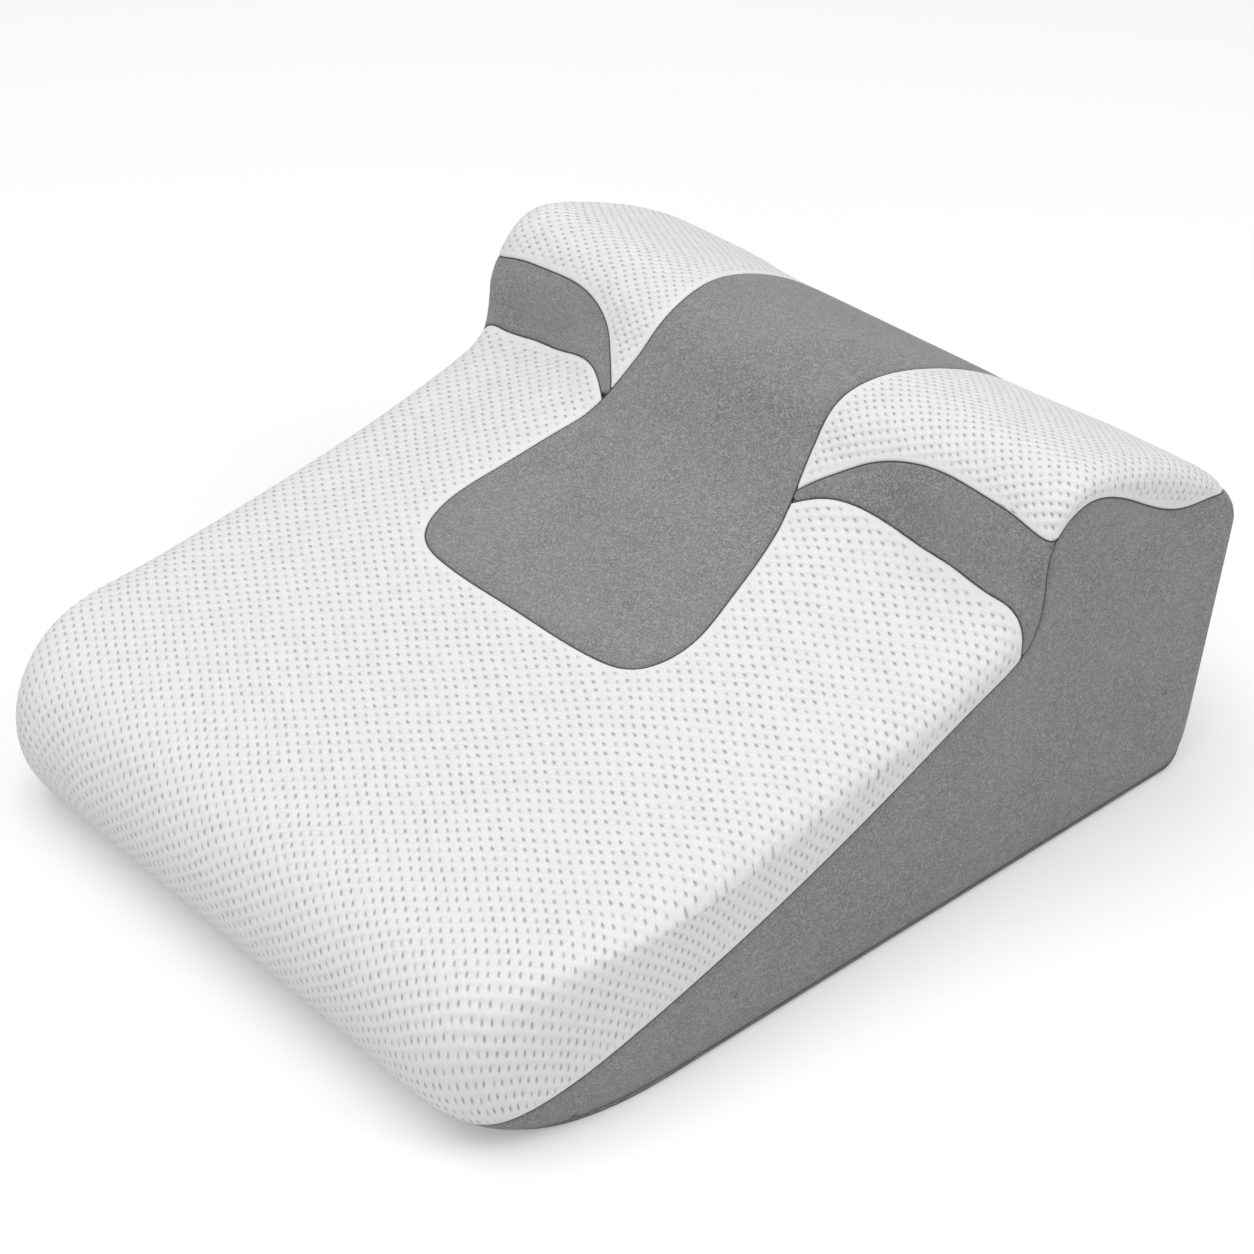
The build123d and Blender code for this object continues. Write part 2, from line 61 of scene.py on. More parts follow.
# ---------------------------------------------------------------------------
# Foam core and topper. A firm wedge-shaped block carries a softer layer that
# is glued over its top. Both are cut foam with open pores, and the zipped
# cover hides them.
# ---------------------------------------------------------------------------
WIDTH, DEPTH = 510.0, 630.0
EDGE_RADIUS, RAMP_EDGE_WIDTH, SOLE_RADIUS, SOLE_TRIM = 22.0, 44.0, 7.0, 3.0
CORNER_WIDTH, CORNER_DEPTH = 77.0, 129.0
NOSE_DEPTH, NOSE_HEIGHT, NOSE_SLOPE = 56.0, 112.0, 10.0
RAMP_END, NECK, RIDGE = (371.6, 198.5), (416.0, 237.5), (475.0, 268.0)
LOBE_FOOT, LOBE_FACE = (401.0, 209.5), (429.0, 232.0)
LOBE_START, LOBE_FULL = 86.0, 178.0
CROWN_START, CROWN_END, FOOT_CROWN, FACE_CROWN = 100.0, 228.0, 24.0, 14.4
# slopes and curve handles come in pairs: on the mid line, and on a lobe
FOOT_SLOPES, FACE_SLOPES, LOBE_RISE = (21.8, 19.0), (45.0, 84.0), 1.5
FOOT_HANDLES = ((19.0, 18.0), (18.0, 22.0))
FACE_HANDLES = ((14.0, 23.0), (41.0, 29.0))
RIDGE_HANDLES = ((49.0, 26.0), (62.0, 46.0))
CREST_HEIGHT, LOBE_CREST_HEIGHT = 156.0, 177.0
BACK_SETBACK, BACK_LEAN = 0.5, 8.3
HEEL_HEIGHT, HEEL_DEPTH = 56.0, 31.0
FOAM_DEPTH, TOPPER_DEPTH, GLUE_LINE, TOPPER_EDGE = 5.0, 32.0, 0.3, 0.4
QUARTER = 0.5523
SPAN_ROWS = (164, 22, 20, 92, 16, 24, 52, 32, 18)
ROW_COUNT = sum(SPAN_ROWS)
NOSE_ROW = SPAN_ROWS[0] + SPAN_ROWS[1]
FOOT_ROW = NOSE_ROW + SPAN_ROWS[2] + SPAN_ROWS[3]
CREST_ROW = sum(SPAN_ROWS[:7])
CAP_RINGS, EDGE_COLUMNS, FLAT_COLUMNS = 24, 24, 112
SPINE_TUCK, SPINE_END, SPINE_LEVEL = 40.0, 0.25, 0.6


def ease(value, low, high):
    """A smooth step from 0 at the low value to 1 at the high one."""
    share = np.clip((value - low) / (high - low), 0.0, 1.0)
    return share * share * (3.0 - 2.0 * share)


def mix(first, second, share):
    """The value at a share of the way from the first to the second."""
    return first + (second - first) * share


def corner_setback(x, layer):
    """How far back the rounded front corner has drawn the nose at x."""
    run = np.clip((x - (WIDTH / 2 - CORNER_WIDTH)) / (CORNER_WIDTH - layer), 0.0, 1.0)
    return CORNER_DEPTH - (CORNER_DEPTH - layer) * (1.0 - run**3) ** (1 / 3)


def back_line(height):
    """How far back from the nose the leaning back lies at a height."""
    lean = math.tan(math.radians(BACK_LEAN))
    return DEPTH - BACK_SETBACK - (LOBE_CREST_HEIGHT - height) * lean


def knot(y, z, angle, inset):
    """Profile points with their travel direction, moved inward by the inset."""
    turn = np.radians(angle) + 0.0 * inset
    along_y, along_z = np.cos(turn), np.sin(turn)
    return y + along_z * inset, z - along_y * inset, along_y, along_z, turn


def straight(first, second):
    """Control points of a flat span between two knots."""
    steps = [np.stack([mix(first[i], second[i], k / 3) for i in (0, 1)], -1) for k in range(4)]
    return np.stack(steps, -2)


def curved(first, second, lead, trail, inset):
    """Control points of a rounded span, with its handles shortened by the inset."""
    cut = inset * 4 / 3 * np.tan((first[4] - second[4]) / 4)
    lead, trail = np.maximum(lead - cut, 0.5), np.maximum(trail - cut, 0.5)
    ends = [np.stack(first[:2], -1), np.stack(second[:2], -1)]
    near = np.stack([first[0] + first[2] * lead, first[1] + first[3] * lead], -1)
    far = np.stack([second[0] - second[2] * trail, second[1] - second[3] * trail], -1)
    return np.stack([ends[0], near, far, ends[1]], -2)


def side_profile(x, inset, sole, layer):
    """Control points of the nine spans of the closed side profile at each x."""
    x = np.abs(x)
    none = np.zeros_like(x)
    lobe, crown = ease(x, LOBE_START, LOBE_FULL), ease(x, CROWN_START, CROWN_END)
    setback = corner_setback(x, layer)
    nose_back = NOSE_DEPTH + setback
    rise = math.tan(math.radians(NOSE_SLOPE))
    floor_front = knot(nose_back, sole, 180.0, none)
    nose = knot(setback + inset - layer, NOSE_HEIGHT / 2 + none, 90.0, none)
    nose_top_z = NOSE_HEIGHT + (setback - layer) * rise
    nose_top = knot(nose_back - layer - 9.5, nose_top_z, NOSE_SLOPE, inset)
    foot_y = mix(RAMP_END[0], LOBE_FOOT[0], lobe)
    foot_z = mix(RAMP_END[1], LOBE_FOOT[1], lobe) - FOOT_CROWN * crown
    foot = knot(foot_y, foot_z, mix(*FOOT_SLOPES, lobe), inset)
    face_y = mix(NECK[0], LOBE_FACE[0], lobe)
    face_z = mix(NECK[1], LOBE_FACE[1], lobe) - FACE_CROWN * crown
    face = knot(face_y, face_z, mix(*FACE_SLOPES, lobe), mix(layer, inset, 0.25))
    ridge = knot(RIDGE[0] + none, RIDGE[1] + LOBE_RISE * lobe, 0.0, mix(layer, inset, 0.55))
    back_inset = mix(layer, inset, 0.45)
    crest_z = mix(CREST_HEIGHT, LOBE_CREST_HEIGHT, lobe)
    crest = knot(back_line(crest_z), crest_z, -90.0 - BACK_LEAN, back_inset)
    heel = knot(back_line(HEEL_HEIGHT) + none, HEEL_HEIGHT + none, -90.0 - BACK_LEAN, back_inset)
    floor_back = knot(back_line(HEEL_HEIGHT) - HEEL_DEPTH + none, sole, -180.0, none)

    def rounded(first, second, handles):
        lead, trail = (mix(*pair, lobe) for pair in handles)
        return curved(first, second, lead, trail, inset)

    reach = 0.36 * (foot[0] - nose_top[0])
    nose_rise, nose_run = QUARTER * (nose_top[1] - nose[1]), QUARTER * (nose_top[0] - nose[0])
    spans = [
        straight(floor_back, floor_front),
        curved(floor_front, nose, QUARTER * NOSE_DEPTH, QUARTER * (nose[1] - sole), none),
        curved(nose, nose_top, nose_rise, nose_run, none),
        curved(nose_top, foot, reach, 0.95 * reach, none),
        rounded(foot, face, FOOT_HANDLES),
        rounded(face, ridge, FACE_HANDLES),
        rounded(ridge, crest, RIDGE_HANDLES),
        straight(crest, heel),
        curved(heel, floor_back, QUARTER * (HEEL_HEIGHT - sole), QUARTER * HEEL_DEPTH, none),
    ]
    return np.stack(spans, 1)


def along_span(points, share):
    """Points on spans of four control points each, at the given shares."""
    share = share[None, :, None]
    rest = 1.0 - share
    first, near, far, last = (points[:, None, k] for k in range(4))
    return first * rest**3 + 3 * near * rest**2 * share + 3 * far * rest * share**2 + last * share**3


def partner_row(row):
    """The row that meets this one on the mid line of a side face."""
    return (2 * NOSE_ROW - row) % ROW_COUNT


def half_columns(layer):
    """x, inset and sole height of the columns from the middle to one side face."""
    flat = WIDTH / 2 - EDGE_RADIUS
    turn = np.linspace(0.0, math.pi / 2, 721)
    x = flat + (EDGE_RADIUS - layer) * np.sin(turn)
    inset = layer + (EDGE_RADIUS - layer) * (1.0 - np.cos(turn))
    plan = corner_setback(x, layer) + inset
    step = np.hypot(np.diff(x), np.diff(plan)) + 2.0 * np.hypot(np.diff(x), np.diff(inset))
    run = np.concatenate([[0.0], np.cumsum(step)])
    turn = np.interp(np.linspace(0.0, run[-1], EDGE_COLUMNS + 1), run, turn)
    edge_x = flat + (EDGE_RADIUS - layer) * np.sin(turn)
    edge_inset = layer + (EDGE_RADIUS - layer) * (1.0 - np.cos(turn))
    edge_sole = layer - SOLE_TRIM + SOLE_RADIUS * (1.0 - np.cos(turn))
    middle_x = np.linspace(0.0, flat, FLAT_COLUMNS // 2 + 1)[:-1]
    even = np.full(len(middle_x), layer)
    inset = np.concatenate([even, edge_inset])
    sole = np.concatenate([even - SOLE_TRIM, edge_sole])
    return np.concatenate([middle_x, edge_x]), inset, sole


def side_face(edge):
    """Rings from a fixed line low on a side face out to its edge."""
    row = np.arange(ROW_COUNT)
    spine = (edge + edge[partner_row(row)]) / 2
    y = spine[:, 1].copy()
    front, back = y[NOSE_ROW], y[(NOSE_ROW + ROW_COUNT // 2) % ROW_COUNT]
    place = (y - front) / (back - front)
    near_front = np.maximum(0.0, 1.0 - place / SPINE_END) ** 2
    near_back = np.maximum(0.0, 1.0 - (1.0 - place) / SPINE_END) ** 2
    spine[:, 1] = y + SPINE_TUCK * near_front - SPINE_TUCK * near_back
    spine[:, 2] *= SPINE_LEVEL
    share = np.linspace(0.0, 1.0, CAP_RINGS + 1)[:, None, None]
    rings = mix(spine[None], edge[None], share)
    for _ in range(600):
        inner = rings[1:-1]
        around = np.roll(inner, 1, 1) + np.roll(inner, -1, 1)
        rings[1:-1] = (rings[2:] + rings[:-2] + around) / 4
    return rings


def round_drop(x, width, depth):
    """How far an elliptic edge of this width has dropped at each x."""
    share = np.clip((x - x[-1] + width) / width, 0.0, 1.0)
    return depth * (1.0 - np.sqrt(1.0 - share**2))


def ramp_softness(x, layer):
    """The extra drop that widens the ramp's rounded sides, by column and row."""
    first, last = sum(SPAN_ROWS[:3]), sum(SPAN_ROWS[:4])
    row = np.arange(ROW_COUNT)
    begins = ease(row, first - 0.5 * SPAN_ROWS[2], first + 0.15 * (last - first))
    weight = begins * (1.0 - ease(row, last, last + 0.7 * SPAN_ROWS[4]))
    depth = EDGE_RADIUS - layer
    extra = round_drop(x, RAMP_EDGE_WIDTH, depth) - round_drop(x, depth, depth)
    return np.outer(extra, weight)


def whole_grid(layer):
    """The closed outside of the cushion in millimetres, as columns of rows."""
    x, inset, sole = half_columns(layer)
    spans = side_profile(x, inset, sole, layer)
    top = [along_span(spans[-1:, k], np.arange(n) / n)[0, :, 0]
           for k, n in enumerate(SPAN_ROWS) if k]
    top = np.concatenate([np.zeros(SPAN_ROWS[0])] + top)
    paired = top[partner_row(np.arange(SPAN_ROWS[0] + 1))]
    sole_share = (paired[0] - paired[:-1]) / (paired[0] - paired[-1])
    yz = [along_span(spans[:, k], np.arange(count) / count if k else sole_share)
          for k, count in enumerate(SPAN_ROWS)]
    yz = np.concatenate(yz, 1)
    half = np.empty(yz.shape[:2] + (3,))
    half[..., 0] = x[:, None]
    half[..., 1] = yz[..., 0] - DEPTH / 2
    soft = ramp_softness(x, layer) if layer < EDGE_RADIUS else 0.0
    half[..., 2] = np.maximum(yz[..., 1] - soft, layer)
    half = np.concatenate([half, side_face(half[-1])[-2::-1]])
    left = half[:0:-1] * np.array([-1.0, 1.0, 1.0])
    return np.concatenate([left, half])


def grid_faces(columns, rows, partner):
    """Vertex numbers and outward quads, the end columns closed on themselves."""
    number = np.arange(columns * rows).reshape(columns, rows)
    row = np.arange(rows)
    for end in (0, columns - 1):
        number[end] = np.minimum(number[end], number[end][partner(row)])
    after = np.roll(np.arange(rows), -1)
    quads = np.stack([number[:-1], number[1:], number[1:][:, after], number[:-1][:, after]], -1)
    return number, quads.reshape(-1, 4)


def as_triangles(quads):
    """Each quad halved, without the halves that have no area at a closed end."""
    halves = np.concatenate([quads[:, [0, 1, 2]], quads[:, [0, 2, 3]]])
    a, b, c = halves.T
    return halves[(a != b) & (b != c) & (c != a)]


def new_piece(name, points, faces, material):
    """A mesh object in metres from points in millimetres, smooth shaded."""
    used, faces = np.unique(faces, return_inverse=True)
    faces = faces.reshape(-1, 3)
    mesh = bpy.data.meshes.new(name)
    mesh.from_pydata((points[used] * 0.001).tolist(), [], faces.tolist())
    mesh.validate()
    mesh.polygons.foreach_set("use_smooth", [True] * len(mesh.polygons))
    mesh.materials.append(material)
    return add_object(name, mesh), used


def add_node(tree, kind, feeds=None, **settings):
    """A node with its settings made and its inputs fed by values or links."""
    node = tree.nodes.new(kind)
    for key, value in settings.items():
        setattr(node, key, value)
    for key, value in (feeds or {}).items():
        if isinstance(value, bpy.types.NodeSocket):
            tree.links.new(value, node.inputs[key])
        else:
            node.inputs[key].default_value = value
    return node


class Nodes:
    """A material's node tree, built one node at a time."""

    def __init__(self, name):
        self.material = bpy.data.materials.new(name)
        self.material.use_nodes = True
        self.tree = self.material.node_tree
        self.shader = self.tree.nodes["Principled BSDF"]

    def add(self, kind, feeds=None, **settings):
        return add_node(self.tree, kind, feeds, **settings)

    def place(self):
        return self.add("ShaderNodeTexCoord").outputs["Object"]

    def seam_gap(self):
        return self.add("ShaderNodeAttribute", attribute_name="seam_gap").outputs["Fac"]

    def math(self, operation, *values, clamp=False):
        feeds = dict(enumerate(values))
        return self.add("ShaderNodeMath", feeds, operation=operation, use_clamp=clamp).outputs[0]

    def noise(self, vector, scale, detail=3.0, rough=0.5, bend=0.0):
        feeds = {"Vector": vector, "Scale": scale, "Detail": detail, "Roughness": rough,
                 "Distortion": bend}
        return self.add("ShaderNodeTexNoise", feeds).outputs["Fac"]

    def wave(self, vector, scale, direction, bend=0.0):
        feeds = {"Vector": vector, "Scale": scale, "Distortion": bend}
        return self.add("ShaderNodeTexWave", feeds, bands_direction=direction).outputs["Fac"]

    def ramp(self, value, low, high, start=0.0, end=1.0):
        feeds = {"Value": value, "From Min": low, "From Max": high, "To Min": start,
                 "To Max": end}
        node = self.add("ShaderNodeMapRange", feeds, interpolation_type="SMOOTHSTEP")
        return node.outputs["Result"]

    def blend(self, share, first, second):
        feeds = {0: share}
        for index, colour in ((6, first), (7, second)):
            linked = isinstance(colour, bpy.types.NodeSocket)
            feeds[index] = colour if linked else (*colour, 1.0)
        return self.add("ShaderNodeMix", feeds, data_type="RGBA").outputs[2]

    def bump(self, height, distance, strength=1.0, under=None):
        feeds = {"Strength": strength, "Distance": distance, "Height": height}
        if under is not None:
            feeds["Normal"] = under
        return self.add("ShaderNodeBump", feeds).outputs["Normal"]

    def finish(self, colour=None, normal=None, **values):
        values.update({"Base Color": colour, "Normal": normal})
        for key, value in values.items():
            socket = self.shader.inputs[key.replace("_", " ")]
            if isinstance(value, bpy.types.NodeSocket):
                self.tree.links.new(value, socket)
            elif value is not None:
                socket.default_value = value
        return self.material


def foam_material(name, colour, pore_size):
    """Cut foam: fine open pores in two sizes and a slight mottle."""
    nodes = Nodes(name)
    place = nodes.place()
    cells = nodes.add("ShaderNodeTexVoronoi", {"Vector": place, "Scale": 1.0 / pore_size})
    pores = cells.outputs["Distance"]
    mottle = nodes.ramp(nodes.noise(place, 30.0), 0.3, 0.7, 0.0, 0.15)
    # the pores are painted darker than the foam: painted shade in the holes of the cut foam
    dark = tuple(0.8 * c for c in colour)
    shade = nodes.blend(nodes.ramp(pores, 0.1, 0.5), dark, colour)
    shade = nodes.blend(mottle, shade, (0.8, 0.76, 0.62))
    relief = nodes.bump(pores, 0.0008)
    return nodes.finish(shade, relief, Roughness=0.95, Specular_IOR_Level=0.2)


def topper_underside(y):
    """Height of the glue line between core and topper, y back from the nose."""
    deep = TOPPER_DEPTH
    slant = deep * math.sin(math.radians(45.0))
    line_y = (-20.0, NOSE_DEPTH + deep, RAMP_END[0], NECK[0] + slant, RIDGE[0],
              DEPTH - 62.0, DEPTH + 20.0)
    line_z = (NOSE_HEIGHT - 1.15 * deep, NOSE_HEIGHT - 0.7 * deep, RAMP_END[1] - deep,
              NECK[1] - slant, RIDGE[1] - deep, CREST_HEIGHT, CREST_HEIGHT - deep)
    return np.interp(y, line_y, line_z)


def half_partner(row):
    """The partner row on a grid that keeps every second row."""
    return (NOSE_ROW - row) % (ROW_COUNT // 2)


foam_grid = whole_grid(FOAM_DEPTH)[::2, ::2]
_, foam_quads = grid_faces(*foam_grid.shape[:2], half_partner)
glue_line = topper_underside(foam_grid[..., 1] + DEPTH / 2)
top_rows = slice(NOSE_ROW // 2, CREST_ROW // 2)
foam_top = np.stack([np.interp(line[:, 1], line[top_rows, 1], line[top_rows, 2])
                     for line in foam_grid])
glue_line = np.minimum(glue_line, foam_top - TOPPER_EDGE)
for name, node, height, colour, pore in (
    ("firm_core", "base_foam", np.minimum(foam_grid[..., 2], glue_line - GLUE_LINE / 2),
     (0.86, 0.84, 0.76), 0.0016),
    ("soft_topper", "comfort_foam", np.maximum(foam_grid[..., 2], glue_line + GLUE_LINE / 2),
     (0.9, 0.9, 0.88), 0.0011),
):
    block = foam_grid.copy()
    block[..., 2] = height
    behind = back_line(height) - DEPTH / 2 - FOAM_DEPTH
    block[..., 1] = np.minimum(block[..., 1], behind)
    piece, _ = new_piece(name, block.reshape(-1, 3), as_triangles(foam_quads),
                         foam_material(name, colour, pore))
    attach(piece, "pillow")
    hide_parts(node)

# ---------------------------------------------------------------------------
# Cover panels. The zip-off cover is cut from knit, suede and base cloth and
# sewn inside out, so each edge turns down into its seam. The foam presses
# each panel out between its seams.
# ---------------------------------------------------------------------------
PANEL_THICKNESS = 1.2
SEAM_ROLL, SEAM_TUCK, TUCK_REACH, CUT_SETBACK = 2.0, 0.8, 7.0, 0.22
ROLL_LINES = (0.5, 1.1, 1.9, 3.2)
SOLE_SEAM, CREST_SEAM, BACK_SEAM_INSET = 5.0, 146.0, 3.6
SIDE_SEAM_START, SIDE_SEAM_TIP = (111.0, 48.0), (183.0, 34.0)
CRADLE_FRONT, CRADLE_WIDE, CRADLE_NECK, CRADLE_BACK = 241.0, 114.0, 78.0, 88.0
ZIP_HEIGHT, ZIP_HALF_LENGTH, ZIP_OPENING, ZIP_CORNER = 92.0, 204.0, 12.0, 2.0
PRESS_LIMIT, PRESS_RISE, CLOTH_STEPS = 2.6, 16.0, 20
OUTSIDE = -50.0
KNIT_SKEW, SKEW_REACH = 0.0004, 400.0
LOBE_STRETCH = (1.26, 1.1)


def spline(points, steps=24):
    """A natural cubic spline through the points, with knots at chord length."""
    points = np.array(points, float)
    span = np.linalg.norm(np.diff(points, axis=0), axis=1)
    count = len(points)
    system, right = np.eye(count), np.zeros_like(points)
    for i in range(1, count - 1):
        system[i, i - 1 : i + 2] = span[i - 1], 2 * (span[i - 1] + span[i]), span[i]
        right[i] = 6 * ((points[i + 1] - points[i]) / span[i]
                        - (points[i] - points[i - 1]) / span[i - 1])
    bend = np.linalg.solve(system, right)
    pieces = []
    for i in range(count - 1):
        b = np.linspace(0.0, 1.0, steps, endpoint=False)[:, None]
        a = 1.0 - b
        cube = ((a**3 - a) * bend[i] + (b**3 - b) * bend[i + 1]) * span[i] ** 2 / 6
        pieces.append(a * points[i] + b * points[i + 1] + cube)
    return np.concatenate(pieces + [points[-1:]])


def bezier(points, steps=24):
    """Points along one cubic curve."""
    points = np.array(points, float)
    share = np.linspace(0.0, 1.0, steps)
    return along_span(points[None], share)[0]


def inside(outline, across, up):
    """Signed distance to a closed outline, positive inside."""
    nearest = np.full(across.shape, 1e9)
    within = np.zeros(across.shape, bool)
    for (ax, ay), (bx, by) in zip(outline, np.roll(outline, -1, 0)):
        dx, dy = bx - ax, by - ay
        size = dx * dx + dy * dy
        if size < 1e-12:
            continue
        share = np.clip(((across - ax) * dx + (up - ay) * dy) / size, 0.0, 1.0)
        gap = (across - ax - share * dx) ** 2 + (up - ay - share * dy) ** 2
        nearest = np.minimum(nearest, gap)
        crossing = (ay > up) != (by > up)
        if dy:
            within ^= crossing & (across < ax + (up - ay) * dx / dy)
    return np.where(within, 1.0, -1.0) * np.sqrt(nearest)


def side_outline():
    """The grey side panel from the side: its top seam, the back, the sole."""
    start, foot, face, ridge = SIDE_SEAM_START, LOBE_FOOT, LOBE_FACE, RIDGE
    back = DEPTH - BACK_SETBACK
    seam = spline([
        start,
        (mix(start[0], foot[0], 0.38), mix(start[1], foot[1], 0.2)),
        (mix(start[0], foot[0], 0.78), mix(start[1], foot[1], 0.48)),
        (face[0] - 31, face[1] - 81),
        (face[0] + 1, face[1] - 63),
        (face[0] + 11, face[1] - 34),
        (face[0] + 15, face[1] + 1),
        (ridge[0] - 4, ridge[1] - 17),
        (ridge[0] + 19, ridge[1] - 21),
        (ridge[0] + 55, ridge[1] - 41),
        (ridge[0] + 92, ridge[1] - 58),
        (back - 24, LOBE_CREST_HEIGHT + 28),
        (back - 12, LOBE_CREST_HEIGHT + 25),
    ])
    drop = BACK_SEAM_INSET / math.cos(math.radians(BACK_LEAN))
    high, bend = LOBE_CREST_HEIGHT - 8, HEEL_HEIGHT + 6
    crest = (back_line(high) - drop, high)
    heel = (back_line(bend) - drop, bend)
    low = (heel[0] - HEEL_DEPTH, BACK_SEAM_INSET)
    corner = bezier([seam[-1], (crest[0] + 2.4, crest[1] + 28), (crest[0], crest[1] + 18), crest])
    under = bezier([heel, (heel[0] - 4.6, 0.45 * bend), (low[0] + 0.55 * HEEL_DEPTH, low[1]), low])
    ends = [(low[0], -20.0), (-20.0, -20.0), (-20.0, start[1])]
    return np.concatenate([seam, corner[1:], under, np.array(ends)])


def cradle_outline():
    """The grey strip from above: a rounded tongue that narrows at the neck."""
    wide, neck, back, front = CRADLE_WIDE, CRADLE_NECK, CRADLE_BACK, CRADLE_FRONT
    right = [
        (0.62 * wide, front + 1),
        (0.9 * wide, front + 11),
        (wide, front + 36),
        (0.955 * wide, front + 76),
        (mix(wide, neck, 0.45), front + 120),
        (neck + 3, NECK[0] - 2),
        (neck, RIDGE[0] - 42),
        (mix(neck, back, 0.45), RIDGE[0]),
        (back, RIDGE[0] + 36),
        (back, DEPTH + 20),
    ]
    left = [(-x, y) for x, y in right]
    return spline(right[::-1] + [(0.0, front)] + left, 16)


def shoulder_lines():
    """The seams below and above the inset on the front of a lobe."""
    foot, face, inner = LOBE_FOOT, LOBE_FACE, CRADLE_NECK + 9
    low = spline([
        (inner - 10, NECK[0] - 33),
        (inner + 20, NECK[0] - 14.5),
        (inner + 45, NECK[0] - 4),
        (inner + 73, foot[0] + 18.5),
        (inner + 113, foot[0] + 21.5),
        (inner + 155, foot[0] + 21),
        (inner + 172, foot[0] + 23),
    ])
    high = spline([
        (inner - 10, NECK[1] - 30),
        (inner + 9, NECK[1] - 13),
        (inner + 22, NECK[1] - 4.5),
        (inner + 35, face[1] + 8.5),
        (inner + 51, face[1] + 14),
        (inner + 71, face[1] + 17),
        (inner + 118, face[1] + 15),
        (inner + 145, face[1] + 12),
        (inner + 172, face[1] + 4),
    ])
    return low, high


def beside_line(line, x, value):
    """Distance of a value above a line over x, measured square to the line."""
    slope = np.gradient(line[:, 1], line[:, 0])
    height = np.interp(x, line[:, 0], line[:, 1])
    tilt = np.interp(x, line[:, 0], slope)
    past = np.maximum(line[0, 0] - x, 0.0)
    return (value - height) / np.sqrt(1.0 + tilt**2) - 3.0 * past


def zip_place(points):
    """Distance down the back from the zip line, and outward from the back."""
    lean = math.radians(BACK_LEAN)
    y = points[:, 1] - (back_line(ZIP_HEIGHT) - DEPTH / 2)
    z = points[:, 2] - ZIP_HEIGHT
    down = -y * math.sin(lean) - z * math.cos(lean)
    out = y * math.cos(lean) - z * math.sin(lean)
    return down, out


side_line, cradle_line = side_outline(), cradle_outline()
shoulder_low, shoulder_high = shoulder_lines()


def region(name, points):
    """Signed distances that are all positive inside the named panel."""
    x, y, z = np.abs(points[:, 0]), points[:, 1] + DEPTH / 2, points[:, 2]
    if name == "sole":
        return [SOLE_SEAM - z]
    if name == "side":
        tip = np.array([SIDE_SEAM_TIP[0], SIDE_SEAM_TIP[1], SOLE_SEAM])
        top = np.array([WIDTH / 2, SIDE_SEAM_START[0], SIDE_SEAM_START[1]])
        upward = np.cross(top - tip, (0.7, -0.7, 0.0))
        upward = upward / np.linalg.norm(upward) * (1.0 if upward[2] > 0 else -1.0)
        slant = (tip - np.stack([x, y, z], -1)) @ upward
        rear = np.full(len(x), OUTSIDE)
        near = (x > SIDE_SEAM_TIP[0] - 20) & (y > SIDE_SEAM_START[0] - 40)
        rear[near] = inside(side_line, y[near], z[near])
        front = y < SIDE_SEAM_START[0]
        return [np.where(front, slant, rear), x - (SIDE_SEAM_TIP[0] - 13)]
    down, out = zip_place(points)
    on_back = 14.0 - np.abs(out)
    if name == "window":
        edge = np.stack([x - ZIP_HALF_LENGTH, np.abs(down) - ZIP_OPENING / 2], -1) + ZIP_CORNER
        corner = np.linalg.norm(np.maximum(edge, 0.0), axis=1)
        return [ZIP_CORNER - corner - np.minimum(np.max(edge, axis=1), 0.0), on_back]
    if name == "heel":
        return [down, 60.0 - np.abs(out)]
    if name == "back":
        return [-down, CREST_SEAM - z, on_back]
    if name == "cradle":
        value = np.full(len(x), OUTSIDE)
        near = (x < CRADLE_WIDE + 20) & (y > CRADLE_FRONT - 20) & (z > 25)
        value[near] = inside(cradle_line, points[near, 0], y[near])
        return [value]
    if name == "shoulder":
        low = beside_line(shoulder_low, x, y)
        high = -beside_line(shoulder_high, x, z)
        return [low, high, RIDGE[0] - 28 - y, y - (NECK[0] - 60)]


def split_edges(cloth, flagged_low, flagged_high, share):
    """Put a vertex on each listed edge and share its triangles out anew."""
    values, faces, panel = cloth["values"], cloth["faces"], cloth["panel"]
    start = len(values)
    made = mix(values[flagged_low], values[flagged_high], share[:, None])
    key = flagged_low * (1 << 32) + flagged_high
    order = np.argsort(key)
    key, number = key[order], start + order

    def middle(a, b):
        code = np.minimum(a, b) * (1 << 32) + np.maximum(a, b)
        at = np.minimum(np.searchsorted(key, code), len(key) - 1)
        return np.where(key[at] == code, number[at], -1)

    a, b, c = faces.T
    mids = np.stack([middle(a, b), middle(b, c), middle(c, a)], 1)
    count = (mids >= 0).sum(1)
    parts, labels = [faces[count == 0]], [panel[count == 0]]
    for turn in range(3):
        v = [faces[:, (turn + k) % 3] for k in range(3)]
        m = [mids[:, (turn + k) % 3] for k in range(3)]
        one = (count == 1) & (m[0] >= 0)
        two = (count == 2) & (m[2] < 0)
        for pick, rule in (
            (one, ((v[0], m[0], v[2]), (m[0], v[1], v[2]))),
            (two, ((m[0], v[1], m[1]), (v[0], m[0], m[1]), (v[0], m[1], v[2]))),
        ):
            for corners in rule:
                parts.append(np.stack([corner[pick] for corner in corners], 1))
                labels.append(panel[pick])
    three = count == 3
    v, m = faces[three].T, mids[three].T
    for corners in ((v[0], m[0], m[2]), (m[0], v[1], m[1]), (m[2], m[1], v[2]), (m[0], m[1], m[2])):
        parts.append(np.stack(corners, 1))
        labels.append(panel[three])
    cloth["values"] = np.concatenate([values, made])
    cloth["faces"], cloth["panel"] = np.concatenate(parts), np.concatenate(labels)


def crossed(edges, level):
    """The edges that pass from one side of the level to the other, and where."""
    low, high = edges.T
    crossing = level[low] * level[high] < 0
    low, high = low[crossing], high[crossing]
    return low, high, level[low] / (level[low] - level[high])


